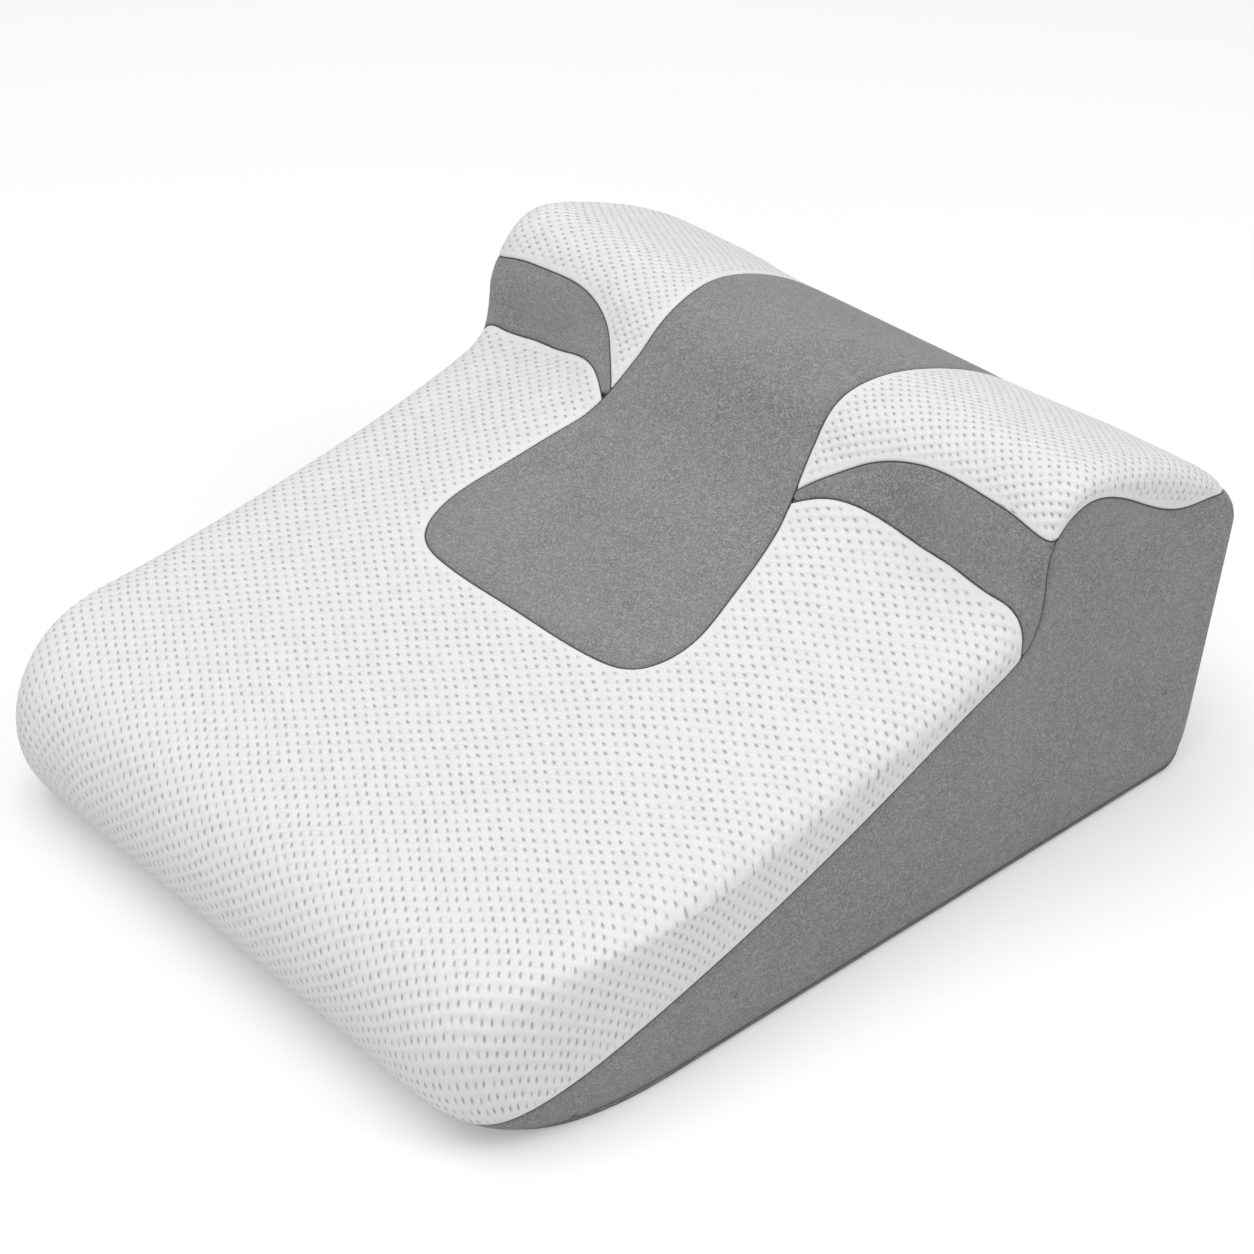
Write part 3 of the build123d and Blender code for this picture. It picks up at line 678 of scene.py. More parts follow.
def cut_cloth(cloth, level, chosen, locked):
    """Cut the chosen triangles where the level passes zero, and lock that line."""
    faces = cloth["faces"][chosen]
    edges = np.concatenate([faces[:, [0, 1]], faces[:, [1, 2]], faces[:, [2, 0]]])
    edges = np.unique(np.sort(edges, 1), axis=0)
    level = level.copy()
    level[np.abs(level) < 1e-7] = 0.0
    for _ in range(2):
        low, high, share = crossed(edges, level)
        for vertex, other, near in ((low, high, share < 0.14), (high, low, share > 0.86)):
            pick = near & ~locked[vertex] & ~locked[other]
            vertex, other = vertex[pick], other[pick]
            vertex, first = np.unique(vertex, return_index=True)
            other = other[first]
            keep = level[vertex] * level[other] < 0
            vertex, other = vertex[keep], other[keep]
            part = level[vertex] / (level[vertex] - level[other])
            moved = mix(cloth["values"][vertex], cloth["values"][other], part[:, None])
            cloth["values"][vertex] = moved
            level[vertex] = 0.0
    low, high, share = crossed(edges, level)
    if len(low):
        split_edges(cloth, low, high, share)
    return np.concatenate([locked | (level == 0.0), np.ones(len(low), bool)])


def vertex_normals(points, faces):
    """Outward directions at the points, weighted by the area around them."""
    a, b, c = (points[faces[:, k]] for k in range(3))
    face = np.cross(b - a, c - a)
    total = np.zeros_like(points)
    for k in range(3):
        for axis in range(3):
            total[:, axis] += np.bincount(faces[:, k], face[:, axis], len(points))
    return total / np.maximum(np.linalg.norm(total, axis=1, keepdims=True), 1e-9)


def seam_edges(faces, panel):
    """Edges whose two triangles belong to different panels."""
    edges = np.concatenate([faces[:, [0, 1]], faces[:, [1, 2]], faces[:, [2, 0]]])
    side = np.concatenate([panel, panel, panel])
    edges = np.sort(edges, 1)
    order = np.lexsort((edges[:, 1], edges[:, 0]))
    edges, side = edges[order], side[order]
    same = (edges[:-1] == edges[1:]).all(1) & (side[:-1] != side[1:])
    return edges[:-1][same], side[:-1][same], side[1:][same]


def tree_of(points):
    """A search tree that finds the nearest of the points."""
    tree = kdtree.KDTree(len(points))
    for index, point in enumerate(points):
        tree.insert(point, index)
    tree.balance()
    return tree


def distance_to(tree, points, reach):
    """How far each point lies from the tree's points, up to the reach."""
    found = np.full(len(points), reach)
    for index, point in enumerate(points.tolist()):
        hit = tree.find(point)[2]
        if hit < reach:
            found[index] = hit
    return found


def pressed_out(grid, numbers, quads, pinned):
    """Cloth simulation: the cover held at its seams and pressed out by the foam."""
    points = grid.reshape(-1, 3)
    used, faces = np.unique(quads, return_inverse=True)
    faces = faces.reshape(-1, 4)
    mesh = bpy.data.meshes.new("pressed_cover")
    mesh.from_pydata((points[used] * 0.001).tolist(), [], faces.tolist())
    body = add_object("pressed_cover", mesh)
    group = body.vertex_groups.new(name="pinned")
    for index, weight in enumerate(pinned[used].tolist()):
        group.add([index], weight, "REPLACE")
    cloth = body.modifiers.new("cloth", "CLOTH")
    cloth.settings.quality = 4
    cloth.settings.mass = 0.3
    cloth.settings.tension_stiffness = cloth.settings.compression_stiffness = 12.0
    cloth.settings.bending_stiffness = 1.5
    cloth.settings.vertex_group_mass = "pinned"
    cloth.settings.use_pressure = True
    cloth.settings.uniform_pressure_force = 4.0
    cloth.settings.effector_weights.gravity = 0.0
    cloth.collision_settings.use_collision = False
    cloth.point_cache.frame_start, cloth.point_cache.frame_end = 1, CLOTH_STEPS
    for step in range(CLOTH_STEPS):
        bpy.context.scene.frame_set(step + 1)
    depsgraph = bpy.context.evaluated_depsgraph_get()
    result = body.evaluated_get(depsgraph).data
    moved = np.empty(len(result.vertices) * 3)
    result.vertices.foreach_get("co", moved)
    shift = np.zeros_like(points)
    shift[used] = moved.reshape(-1, 3) * 1000.0 - points[used]
    bpy.data.objects.remove(body)
    bpy.data.meshes.remove(mesh)
    bpy.context.scene.frame_set(1)
    return shift[numbers.reshape(-1)].reshape(grid.shape)


def refined(coarse):
    """Values on every second column and row, filled in between."""
    fine = np.zeros((2 * coarse.shape[0] - 1, 2 * coarse.shape[1], coarse.shape[2]))
    fine[::2, ::2] = coarse
    fine[1::2, ::2] = (coarse[:-1] + coarse[1:]) / 2
    fine[:, 1::2] = (fine[:, ::2] + np.roll(fine[:, ::2], -1, 1)) / 2
    return fine


def laid_flat(points, flat, held, rounds=250):
    """Ease flat cloth coordinates until their lengths match the surface."""
    flat = flat.copy()
    steps = []
    for da, db in ((1, 0), (0, 1), (1, 1), (1, -1)):
        here = (slice(None, -1) if da else slice(None),
                slice(None, -1) if db == 1 else slice(1, None) if db else slice(None))
        there = (slice(1, None) if da else slice(None),
                 slice(1, None) if db == 1 else slice(None, -1) if db else slice(None))
        steps.append((here, there, np.linalg.norm(points[there] - points[here], axis=2)))
    for _ in range(rounds):
        move, count = np.zeros_like(flat), np.zeros(flat.shape[:2] + (1,))
        for here, there, length in steps:
            apart = flat[there] - flat[here]
            now = np.maximum(np.linalg.norm(apart, axis=2), 1e-6)
            pull = apart * (0.5 * (1.0 - length / now))[..., None]
            move[here] += pull
            move[there] -= pull
            count[here] += 1
            count[there] += 1
        move[held] = 0.0
        flat += 1.2 * move / count
    return flat


def knit_lay(shell):
    """The knit's own coordinates: u across the cushion, v from neck to nose."""
    columns, rows = shell.shape[:2]
    step_to = np.diff(shell, axis=0, prepend=shell[:1])
    step_to[CAP_RINGS : columns - CAP_RINGS, :, 1] = 0.0
    run_u = np.cumsum(np.linalg.norm(step_to, axis=2), 0)
    run_u -= run_u[columns // 2]
    order = (NOSE_ROW + rows // 2 - np.arange(rows)) % rows
    forward = shell[:, order]
    step_to = np.diff(forward, axis=1, prepend=forward[:, :1])
    run_v = np.empty((columns, rows))
    run_v[:, order] = np.cumsum(np.linalg.norm(step_to, axis=2), 1)
    ramp_rows = slice(NOSE_ROW + SPAN_ROWS[2], FOOT_ROW + 1)
    neck_run = [np.interp(RAMP_END[0] - DEPTH / 2, line[ramp_rows, 1], run[ramp_rows])
                for line, run in zip(shell, run_v)]
    return np.stack([run_u, run_v - np.array(neck_run)[:, None]], -1)


def lay_over_nose(lay, shell):
    """Over the nose the knit runs on square to the rounded front."""
    x = np.clip(shell[:, NOSE_ROW, 0], -WIDTH / 2 + 0.01, WIDTH / 2 - 0.01)
    turned = (corner_setback(np.abs(x) + 0.01, 0.0) - corner_setback(np.abs(x), 0.0)) / 0.01
    turned = np.where(x > 0, 1.0, -1.0) * np.minimum(turned, 50.0)
    size = np.sqrt(1.0 + turned**2)
    sideways = np.stack([np.ones(len(x)), -turned], -1) / size[:, None]
    outward = np.stack([turned, np.ones(len(x))], -1) / size[:, None]
    for row in range(NOSE_ROW + SPAN_ROWS[2] - 1, SPAN_ROWS[0] - 1, -1):
        step = shell[:, row] - shell[:, row + 1]
        slide = step[:, 1] * turned / size
        drop = np.hypot(step[:, 1] / size, step[:, 2])
        lay[:, row] = lay[:, row + 1] + slide[:, None] * sideways + drop[:, None] * outward


def lay_down_sides(lay, shell):
    """On a side face the knit runs straight down from the edge."""
    last = len(shell) - 1 - CAP_RINGS
    known_rows = slice(NOSE_ROW, CREST_ROW)
    for edge, hand, face in ((CAP_RINGS, -1, slice(0, CAP_RINGS)),
                             (last, 1, slice(last + 1, len(shell)))):
        line, known = shell[edge, known_rows], lay[edge, known_rows]
        y, z = shell[face, :, 1], shell[face, :, 2]
        down = np.interp(y, line[:, 1], known[:, 0] + hand * line[:, 2])
        lay[face, :, 0] = down - hand * z
        lay[face, :, 1] = np.interp(y, line[:, 1], known[:, 1])


def lay_eased(lay, shell):
    """Ease the knit over the sides and lobes, with the flat of the ramp held."""
    columns, rows, margin, last_row = len(shell), ROW_COUNT, 8, CREST_ROW + 18
    covered = (slice(margin, columns - margin, 2), slice(SPAN_ROWS[0], last_row, 2))
    cover = shell[covered]
    held = ((np.abs(cover[..., 0]) < 190) & (cover[..., 1] > 140 - DEPTH / 2)
            & (cover[..., 1] < RAMP_END[0] - DEPTH / 2))
    eased = np.zeros((columns // 2 + 1, rows // 2, 2))
    inner = (slice(margin // 2, (columns - margin + 1) // 2),
             slice(SPAN_ROWS[0] // 2, last_row // 2))
    eased[inner] = laid_flat(cover, lay[covered], held) - lay[covered]
    lay += refined(eased)
    lay[..., 0] -= KNIT_SKEW * np.clip(lay[..., 1], 0.0, SKEW_REACH) ** 2


shell = whole_grid(0.0)
columns, rows = shell.shape[:2]
numbers, quads = grid_faces(columns, rows, partner_row)
flat_shell = shell.reshape(-1, 3)
lay = knit_lay(shell)
lay_over_nose(lay, shell)
lay_down_sides(lay, shell)
lay_eased(lay, shell)

# each point of the cloth carries its pressed and its plain place, its lay, and
# its column and row on the grid, the row as a turn round the closed profile
PRESSED, PLAIN, LAY, COLUMN, TURN, SEAM = slice(0, 3), slice(3, 6), slice(6, 8), 8, (9, 10), 11
turn = 2 * math.pi * np.arange(rows) / rows
place = np.stack([np.repeat(np.arange(columns)[:, None], rows, 1),
                  np.tile(np.cos(turn), (columns, 1)), np.tile(np.sin(turn), (columns, 1))], -1)
cloth = {
    "values": np.concatenate([flat_shell, flat_shell, lay.reshape(-1, 2),
                              place.reshape(-1, 3)], 1),
    "faces": as_triangles(quads),
}
cloth["panel"] = np.full(len(cloth["faces"]), -1)

# the seams cut the plain shape into panels, the later ones out of what is left
names = ("sole", "side", "window", "heel", "back", "cradle", "shoulder")
locked = np.zeros(len(flat_shell), bool)
for index, name in enumerate(names):
    for part in range(len(region(name, cloth["values"][:1, PLAIN]))):
        tests = region(name, cloth["values"][:, PLAIN])
        beside = [test > -8.0 for k, test in enumerate(tests) if k != part]
        reached = np.logical_and.reduce(beside) if beside else np.ones(len(tests[0]), bool)
        pick = (cloth["panel"] == -1) & reached[cloth["faces"]].any(1)
        locked = cut_cloth(cloth, tests[part], pick, locked)
    centre = cloth["values"][cloth["faces"]].mean(1)[:, PLAIN]
    held = np.logical_and.reduce([test > 0 for test in region(name, centre)])
    cloth["panel"][held & (cloth["panel"] == -1)] = index
in_front = beside_line(shoulder_low, np.abs(centre[:, 0]), centre[:, 1] + DEPTH / 2) < 0
rest = np.where(in_front, len(names), len(names) + 1)
panel = np.where(cloth["panel"] >= 0, cloth["panel"], rest)
label = np.array(names + ("ramp", "lobe"))[panel]
label = np.where(label == "heel", "sole", label)
hand = np.where(centre[:, 0] > 0, "_right", "_left")
sided = np.isin(label, ("side", "shoulder", "lobe"))
label = np.where(sided, np.char.add(label, hand), label)
panel_names, cloth["panel"] = np.unique(label, return_inverse=True)
window_number = panel_names.tolist().index("window")

seams, seam_left, seam_right = seam_edges(cloth["faces"], cloth["panel"])
at_window = (seam_left == window_number) | (seam_right == window_number)


def beads_on(edges, count=8):
    """Points spread closely along the seam edges."""
    share = np.linspace(0.0, 1.0, count + 1)[:-1, None, None]
    ends = cloth["values"][edges][..., PLAIN]
    return mix(ends[None, :, 0], ends[None, :, 1], share).reshape(-1, 3)


all_seams, sewn_seams = tree_of(beads_on(seams)), tree_of(beads_on(seams[~at_window]))

# the foam presses the cover out between the pinned seams
coarse = shell[::2, ::2]
seam_gap = distance_to(all_seams, coarse.reshape(-1, 3), 60.0)
on_floor = coarse.reshape(-1, 3)[:, 2] < 1.0
coarse_numbers, coarse_quads = grid_faces(*coarse.shape[:2], half_partner)
pins = np.clip(1.0 - (seam_gap - 3.0) / 6.0, 0.0, 1.0)
pins[on_floor] = 1.0
shift = pressed_out(coarse, coarse_numbers, coarse_quads, pins)
length = np.linalg.norm(shift, axis=2, keepdims=True)
shift = shift * PRESS_LIMIT * np.tanh(length / PRESS_LIMIT) / np.maximum(length, 1e-6)
shift = refined(shift)
for _ in range(3):
    around = (np.roll(shift, 1, 1) + np.roll(shift, -1, 1)) / 2
    shift = (shift + around) / 2
    middle = shift[1:-1]
    shift[1:-1] = (2 * middle + shift[2:] + shift[:-2]) / 4

# where each point of the cut cloth lies on the grid gives how far it is pressed
column = np.clip(cloth["values"][:, COLUMN], 0.0, columns - 1.001)
cosine, sine = cloth["values"][:, TURN].T
row = np.arctan2(sine, cosine) / (2 * math.pi) * rows % rows
left, low = column.astype(int), row.astype(int) % rows
high = (low + 1) % rows
part_u, part_v = (column - left)[:, None], (row - row.astype(int))[:, None]
cloth["values"][:, PRESSED] += mix(
    mix(shift[left, low], shift[left + 1, low], part_u),
    mix(shift[left, high], shift[left + 1, high], part_u),
    part_v,
)

# extra lines of points beside each seam take the rolled edge
beside_seam = distance_to(sewn_seams, cloth["values"][:, PLAIN], 40.0)
locked = np.zeros(len(beside_seam), bool)
locked[seams] = True
beside_seam[seams[~at_window]] = 0.0
cloth["values"] = np.concatenate([cloth["values"], beside_seam[:, None]], 1)
for line in ROLL_LINES:
    gap = cloth["values"][:, SEAM] - line
    corners = gap[cloth["faces"]]
    pick = (corners.min(1) < 0) & (corners.max(1) > 0)
    locked = cut_cloth(cloth, gap, pick, locked)
beside_seam = cloth["values"][:, SEAM]
pressed = cloth["values"][:, PRESSED]
normals = vertex_normals(pressed, cloth["faces"])
inner = 1.0 - np.clip(beside_seam / SEAM_ROLL, 0.0, 1.0)
roll = SEAM_ROLL * (1.0 - np.sqrt(1.0 - inner**2))
roll += SEAM_TUCK * np.exp(-beside_seam / TUCK_REACH)
sewn = pressed - normals * roll[:, None]
sewn[:, 2] = np.maximum(sewn[:, 2], 0.0)


def knit_material():
    """White bamboo knit: rows of small teardrop dimples between soft ribs."""
    nodes = Nodes("white_knit")
    lay = nodes.add("ShaderNodeUVMap", uv_map="lay").outputs["UV"]
    drift = nodes.add("ShaderNodeTexNoise", {"Vector": lay, "Scale": 26.0, "Detail": 1.0})
    uneven = nodes.add("ShaderNodeVectorMath", {0: drift.outputs["Color"], 1: (0.5, 0.5, 0.5)},
                       operation="SUBTRACT")
    moved = nodes.add("ShaderNodeVectorMath",
                      {0: uneven.outputs[0], 1: (0.003, 0.003, 0.0), 2: lay},
                      operation="MULTIPLY_ADD")
    split = nodes.add("ShaderNodeSeparateXYZ", {"Vector": moved.outputs[0]}).outputs
    # from a dimple the next two lie half a pitch across and half a pitch along, in mm
    half_u, half_v = 5.7, 4.2
    by_u = nodes.math("MULTIPLY", split["X"], 500 / half_u)
    by_v = nodes.math("MULTIPLY", split["Y"], 500 / half_v)
    p, q = nodes.math("ADD", by_u, by_v), nodes.math("SUBTRACT", by_u, by_v)
    near_p, near_q = nodes.math("ROUND", p), nodes.math("ROUND", q)
    cell = nodes.add("ShaderNodeCombineXYZ", {"X": near_p, "Y": near_q}).outputs[0]
    chance = nodes.add("ShaderNodeTexWhiteNoise", {"Vector": cell}, noise_dimensions="2D")
    odd = nodes.add("ShaderNodeSeparateColor", {"Color": chance.outputs["Color"]}).outputs
    off_p, off_q = nodes.math("SUBTRACT", p, near_p), nodes.math("SUBTRACT", q, near_q)
    along = nodes.math("MULTIPLY", nodes.math("ADD", off_p, off_q), half_u)
    across = nodes.math("MULTIPLY", nodes.math("SUBTRACT", off_p, off_q), half_v)
    along = nodes.math("ADD", along, nodes.math("MULTIPLY_ADD", odd[0], 0.9, -0.45))
    across = nodes.math("ADD", across, nodes.math("MULTIPLY_ADD", odd[1], 0.7, -0.35))
    # the dimples lie along the row on the ramp and turn upright on the nose
    turn = nodes.ramp(split["Y"], 0.22, 0.36, 0.1, 0.95)
    cosine, sine = nodes.math("COSINE", turn), nodes.math("SINE", turn)
    tip = nodes.math("MULTIPLY_ADD", across, sine, nodes.math("MULTIPLY", along, cosine))
    flank = nodes.math("SUBTRACT", nodes.math("MULTIPLY", across, cosine),
                       nodes.math("MULTIPLY", along, sine))
    wide = nodes.math("MAXIMUM", nodes.math("MULTIPLY_ADD", tip, 0.22, 0.85), 0.3)
    shares = [nodes.math("POWER", nodes.math("ABSOLUTE", nodes.math("DIVIDE", reach, half)), 2.0)
              for reach, half in ((tip, 1.75), (flank, wide))]
    dimple = nodes.ramp(nodes.math("SQRT", nodes.math("ADD", *shares)), 1.35, 0.2)
    seam = nodes.seam_gap()
    fade = nodes.ramp(seam, 0.0015, 0.008)
    depth = nodes.math("MULTIPLY_ADD", chance.outputs["Value"], 0.5, 0.6)
    dimple = nodes.math("MULTIPLY", dimple, nodes.math("MULTIPLY", depth, fade))
    rib, pillow = (nodes.math("COSINE", nodes.math("MULTIPLY", line, 2 * math.pi))
                   for line in (p, q))
    rib = nodes.math("MULTIPLY_ADD", pillow, 0.35, rib)
    swell = nodes.ramp(nodes.noise(lay, 60.0, 2.0), 0.3, 0.7, 0.22, 0.42)
    rib = nodes.math("MULTIPLY", rib, nodes.math("MULTIPLY", fade, swell))
    loops = nodes.add("ShaderNodeTexWave", {
        "Vector": lay, "Scale": 900.0, "Distortion": 6.0, "Detail": 2.0, "Detail Scale": 1.5,
    }, bands_direction="DIAGONAL").outputs["Fac"]
    fuzz = nodes.noise(lay, 1100.0, 2.0)
    grain = nodes.math("MULTIPLY_ADD", fuzz, 0.6, nodes.math("MULTIPLY", loops, 0.4))
    height = nodes.math("MULTIPLY_ADD", dimple, -0.75, nodes.math("MULTIPLY", rib, -1.0))
    fine = nodes.bump(grain, 0.00014, 0.8, nodes.bump(height, 0.0011))
    tint = nodes.blend(nodes.ramp(grain, 0.25, 0.75), (0.76, 0.76, 0.765), (0.845, 0.845, 0.845))
    # each dimple is painted dark grey: painted shade in the hollow of the dimple
    tint = nodes.blend(nodes.math("MULTIPLY", dimple, 0.6), tint, (0.33, 0.33, 0.34))
    # right at the seam the knit is painted dark: painted shadow in the seam groove
    tint = nodes.blend(nodes.ramp(seam, 0.0006, 0.0001), tint, (0.25, 0.25, 0.25))
    return nodes.finish(tint, fine, Roughness=0.9, Specular_IOR_Level=0.25,
                        Sheen_Weight=0.15, Sheen_Roughness=0.5)


def suede_material(name, colour, spread=0.3):
    """Short-nap suede: a curly worm-like grain that shifts in tone."""
    nodes = Nodes(name)
    place, seam = nodes.place(), nodes.seam_gap()
    curl = nodes.ramp(nodes.noise(place, 430.0, 2.0, 0.5, 2.2), 0.36, 0.64)
    nap = nodes.ramp(nodes.noise(place, 1300.0, 2.0, 0.6), 0.35, 0.65)
    brushed = nodes.ramp(nodes.noise(place, 22.0, 3.0, 0.55), 0.35, 0.65, 0.0, 0.22)
    tone = nodes.math("MULTIPLY_ADD", curl, 0.62, nodes.math("MULTIPLY", nap, 0.38))
    dark, light, seam_shadow_tone = (tuple(c * level for c in colour)
                            for level in (1 - spread, 1 + spread, 0.3))
    shade = nodes.blend(nodes.ramp(tone, 0.2, 0.8), dark, light)
    shade = nodes.blend(brushed, shade, light)
    # a band beside each seam is painted darker: painted shade where the suede rolls into its seam
    shade = nodes.blend(nodes.ramp(seam, 0.007, 0.0015, 0.0, 0.22), shade, dark)
    # right at the seam the suede is painted near black: painted shadow in the seam groove
    shade = nodes.blend(nodes.ramp(seam, 0.0007, 0.0001), shade, seam_shadow_tone)
    return nodes.finish(shade, nodes.bump(tone, 0.0005), Roughness=0.88,
                        Specular_IOR_Level=0.25, Sheen_Weight=0.25, Sheen_Roughness=0.45)


def base_material():
    """Plain woven base cloth, dark grey, with a crossed thread pattern."""
    nodes = Nodes("base_cloth")
    place = nodes.place()
    warp, weft = (nodes.wave(place, 240.0, way, 0.4) for way in ("X", "DIAGONAL"))
    weave = nodes.math("MULTIPLY", warp, weft)
    slub = nodes.ramp(nodes.noise(place, 90.0), 0.35, 0.65, 0.0, 0.25)
    shade = nodes.blend(weave, (0.15, 0.15, 0.155), (0.27, 0.27, 0.275))
    shade = nodes.blend(slub, shade, (0.3, 0.3, 0.305))
    return nodes.finish(shade, nodes.bump(weave, 0.0002, 0.7), Roughness=0.9,
                        Specular_IOR_Level=0.2)


def toward_middle(points, faces, normals):
    """Directions along the cloth from each point to the middle of its panel's faces."""
    middle = points[faces].mean(1)
    pull = np.zeros_like(points)
    for k in range(3):
        for axis in range(3):
            toward = middle[:, axis] - points[faces[:, k], axis]
            pull[:, axis] += np.bincount(faces[:, k], toward, len(points))
    pull -= normals * (pull * normals).sum(1, keepdims=True)
    return pull / np.maximum(np.linalg.norm(pull, axis=1, keepdims=True), 1e-9)


CLOTHS = {
    "white_knit": knit_material(),
    "grey_suede": suede_material("grey_suede", (0.275, 0.275, 0.28)),
    "base_cloth": base_material(),
}
PANELS = {
    "ramp": ("ramp_panel", "white_knit"),
    "lobe_left": ("lobe_panel_left", "white_knit"),
    "lobe_right": ("lobe_panel_right", "white_knit"),
    "cradle": ("cradle_panel", "grey_suede"),
    "shoulder_left": ("shoulder_panel_left", "grey_suede"),
    "shoulder_right": ("shoulder_panel_right", "grey_suede"),
    "side_left": ("side_panel_left", "grey_suede"),
    "side_right": ("side_panel_right", "grey_suede"),
    "back": ("back_panel", "grey_suede"),
    "sole": ("base_panel", "base_cloth"),
}
for label, (node, fabric) in sorted(PANELS.items()):
    faces = cloth["faces"][cloth["panel"] == panel_names.tolist().index(label)]
    # the cut edge stands a little back from the seam line
    points, edge = sewn.copy(), beside_seam < 1e-6
    points[edge] += CUT_SETBACK * toward_middle(points, faces, normals)[edge]
    piece, used = new_piece(label + "_cover", points, faces, CLOTHS[fabric])
    mesh = piece.data
    corner = np.empty(len(mesh.loops), int)
    mesh.loops.foreach_get("vertex_index", corner)
    stretch = LOBE_STRETCH if "lobe" in label else (1.0, 1.0)
    places = cloth["values"][used][corner][:, LAY] * stretch * 0.001
    mesh.uv_layers.new(name="lay").data.foreach_set("uv", places.ravel())
    gap = mesh.attributes.new("seam_gap", "FLOAT", "POINT")
    gap.data.foreach_set("value", beside_seam[used] * 0.001)
    wall = piece.modifiers.new("wall", "SOLIDIFY")
    wall.thickness, wall.offset = PANEL_THICKNESS * 0.001, -1.0
    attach(piece, "pillow")
    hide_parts(node)

# ---------------------------------------------------------------------------
# Seam thread. A dark polyester lockstitch closes each seam at the bottom of
# its groove, about eight stitches to the inch.
# ---------------------------------------------------------------------------
SEAM_DEPTH, LEAST_HEIGHT = 1.45, 0.4


def chains_of(edges):
    """The seam edges joined end to end into lines."""
    beside = {}
    for a, b in edges.tolist():
        beside.setdefault(a, set()).add(b)
        beside.setdefault(b, set()).add(a)
    lines = []
    starts = [v for v, near in beside.items() if len(near) != 2] + list(beside)
    for start in starts:
        while beside[start]:
            line = [start]
            while beside[line[-1]]:
                step = min(beside[line[-1]])
                beside[line[-1]].discard(step)
                beside[step].discard(line[-1])
                line.append(step)
                if len(beside[step]) != 1:
                    break
            lines.append(line)
    return lines


def curve_of(name, lines):
    """A curve object with one straight-run spline for each line, from millimetres."""
    data = bpy.data.curves.new(name, "CURVE")
    data.dimensions = "3D"
    for points in lines:
        part = data.splines.new("POLY")
        part.points.add(len(points) - 1)
        flat = np.concatenate([points * 0.001, np.ones((len(points), 1))], 1)
        part.points.foreach_set("co", flat.ravel())
    return add_object(name, data)


class Tree:
    """A geometry node tree with named number inputs."""

    def __init__(self, name, inputs):
        self.group = bpy.data.node_groups.new(name, "GeometryNodeTree")
        face = self.group.interface
        face.new_socket("Geometry", in_out="INPUT", socket_type="NodeSocketGeometry")
        face.new_socket("Geometry", in_out="OUTPUT", socket_type="NodeSocketGeometry")
        self.sockets = {}
        for key, value in inputs.items():
            kind = "NodeSocketInt" if isinstance(value, int) else "NodeSocketFloat"
            if isinstance(value, bpy.types.Material):
                kind = "NodeSocketMaterial"
            self.sockets[key] = face.new_socket(key, in_out="INPUT", socket_type=kind).identifier
        self.values = inputs
        self.given = self.group.nodes.new("NodeGroupInput")
        self.result = self.group.nodes.new("NodeGroupOutput")

    def add(self, kind, feeds=None, **settings):
        return add_node(self.group, kind, feeds, **settings)

    def run(self, name, base, shape, material):
        """End the tree with the material and keep what it makes as a plain mesh piece."""
        real = self.add("GeometryNodeRealizeInstances", {"Geometry": shape})
        done = self.add("GeometryNodeSetMaterial",
                        {"Geometry": real.outputs[0], "Material": self.given.outputs[material]})
        self.group.links.new(done.outputs[0], self.result.inputs[0])
        modifier = base.modifiers.new("tree", "NODES")
        modifier.node_group = self.group
        for key, value in self.values.items():
            modifier[self.sockets[key]] = value
        depsgraph = bpy.context.evaluated_depsgraph_get()
        mesh = bpy.data.meshes.new_from_object(base.evaluated_get(depsgraph))
        mesh.name = name
        mesh.shade_smooth()
        bpy.data.objects.remove(base)
        return add_object(name, mesh)


def thread_material(name, colour):
    """Twisted polyester thread."""
    nodes = Nodes(name)
    twist = nodes.wave(nodes.place(), 1400.0, "DIAGONAL", 1.0)
    shade = nodes.blend(twist, tuple(0.6 * c for c in colour), colour)
    return nodes.finish(shade, nodes.bump(twist, 0.0001), Roughness=0.6, Sheen_Weight=0.2)


def stitched(name, lines, material, pitch, thick):
    """Stitches set end to end along the lines by a geometry node tree."""
    tree = Tree("stitches_" + name, {"Stitch pitch": pitch, "Stitch length": 0.88 * pitch,
                                    "Thread size": thick, "Thread": material})
    given = tree.given.outputs
    spaced = tree.add("GeometryNodeResampleCurve",
                      {"Curve": given["Geometry"], "Length": given["Stitch pitch"]},
                      mode="LENGTH")
    run = tree.add("GeometryNodeInputTangent")
    turn = tree.add("FunctionNodeAlignRotationToVector", {"Vector": run.outputs[0]}, axis="Z")
    size = tree.add("ShaderNodeCombineXYZ", {
        "X": given["Thread size"], "Y": given["Thread size"], "Z": given["Stitch length"]})
    bead = tree.add("GeometryNodeMeshUVSphere", {"Segments": 6, "Rings": 5, "Radius": 0.5})
    placed = tree.add("GeometryNodeInstanceOnPoints", {
        "Points": spaced.outputs[0], "Instance": bead.outputs[0],
        "Rotation": turn.outputs[0], "Scale": size.outputs[0]})
    piece = tree.run(name, curve_of(name + "_path", lines), placed.outputs[0], "Thread")
    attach(piece, "pillow")


groove = pressed - normals * SEAM_DEPTH
groove[:, 2] = np.maximum(groove[:, 2], LEAST_HEIGHT)
seam_lines = [groove[line] for line in chains_of(seams[~at_window]) if len(line) > 2]
stitched("seam_thread", seam_lines, thread_material("dark_thread", (0.12, 0.12, 0.125)),
         0.0032, 0.0007)

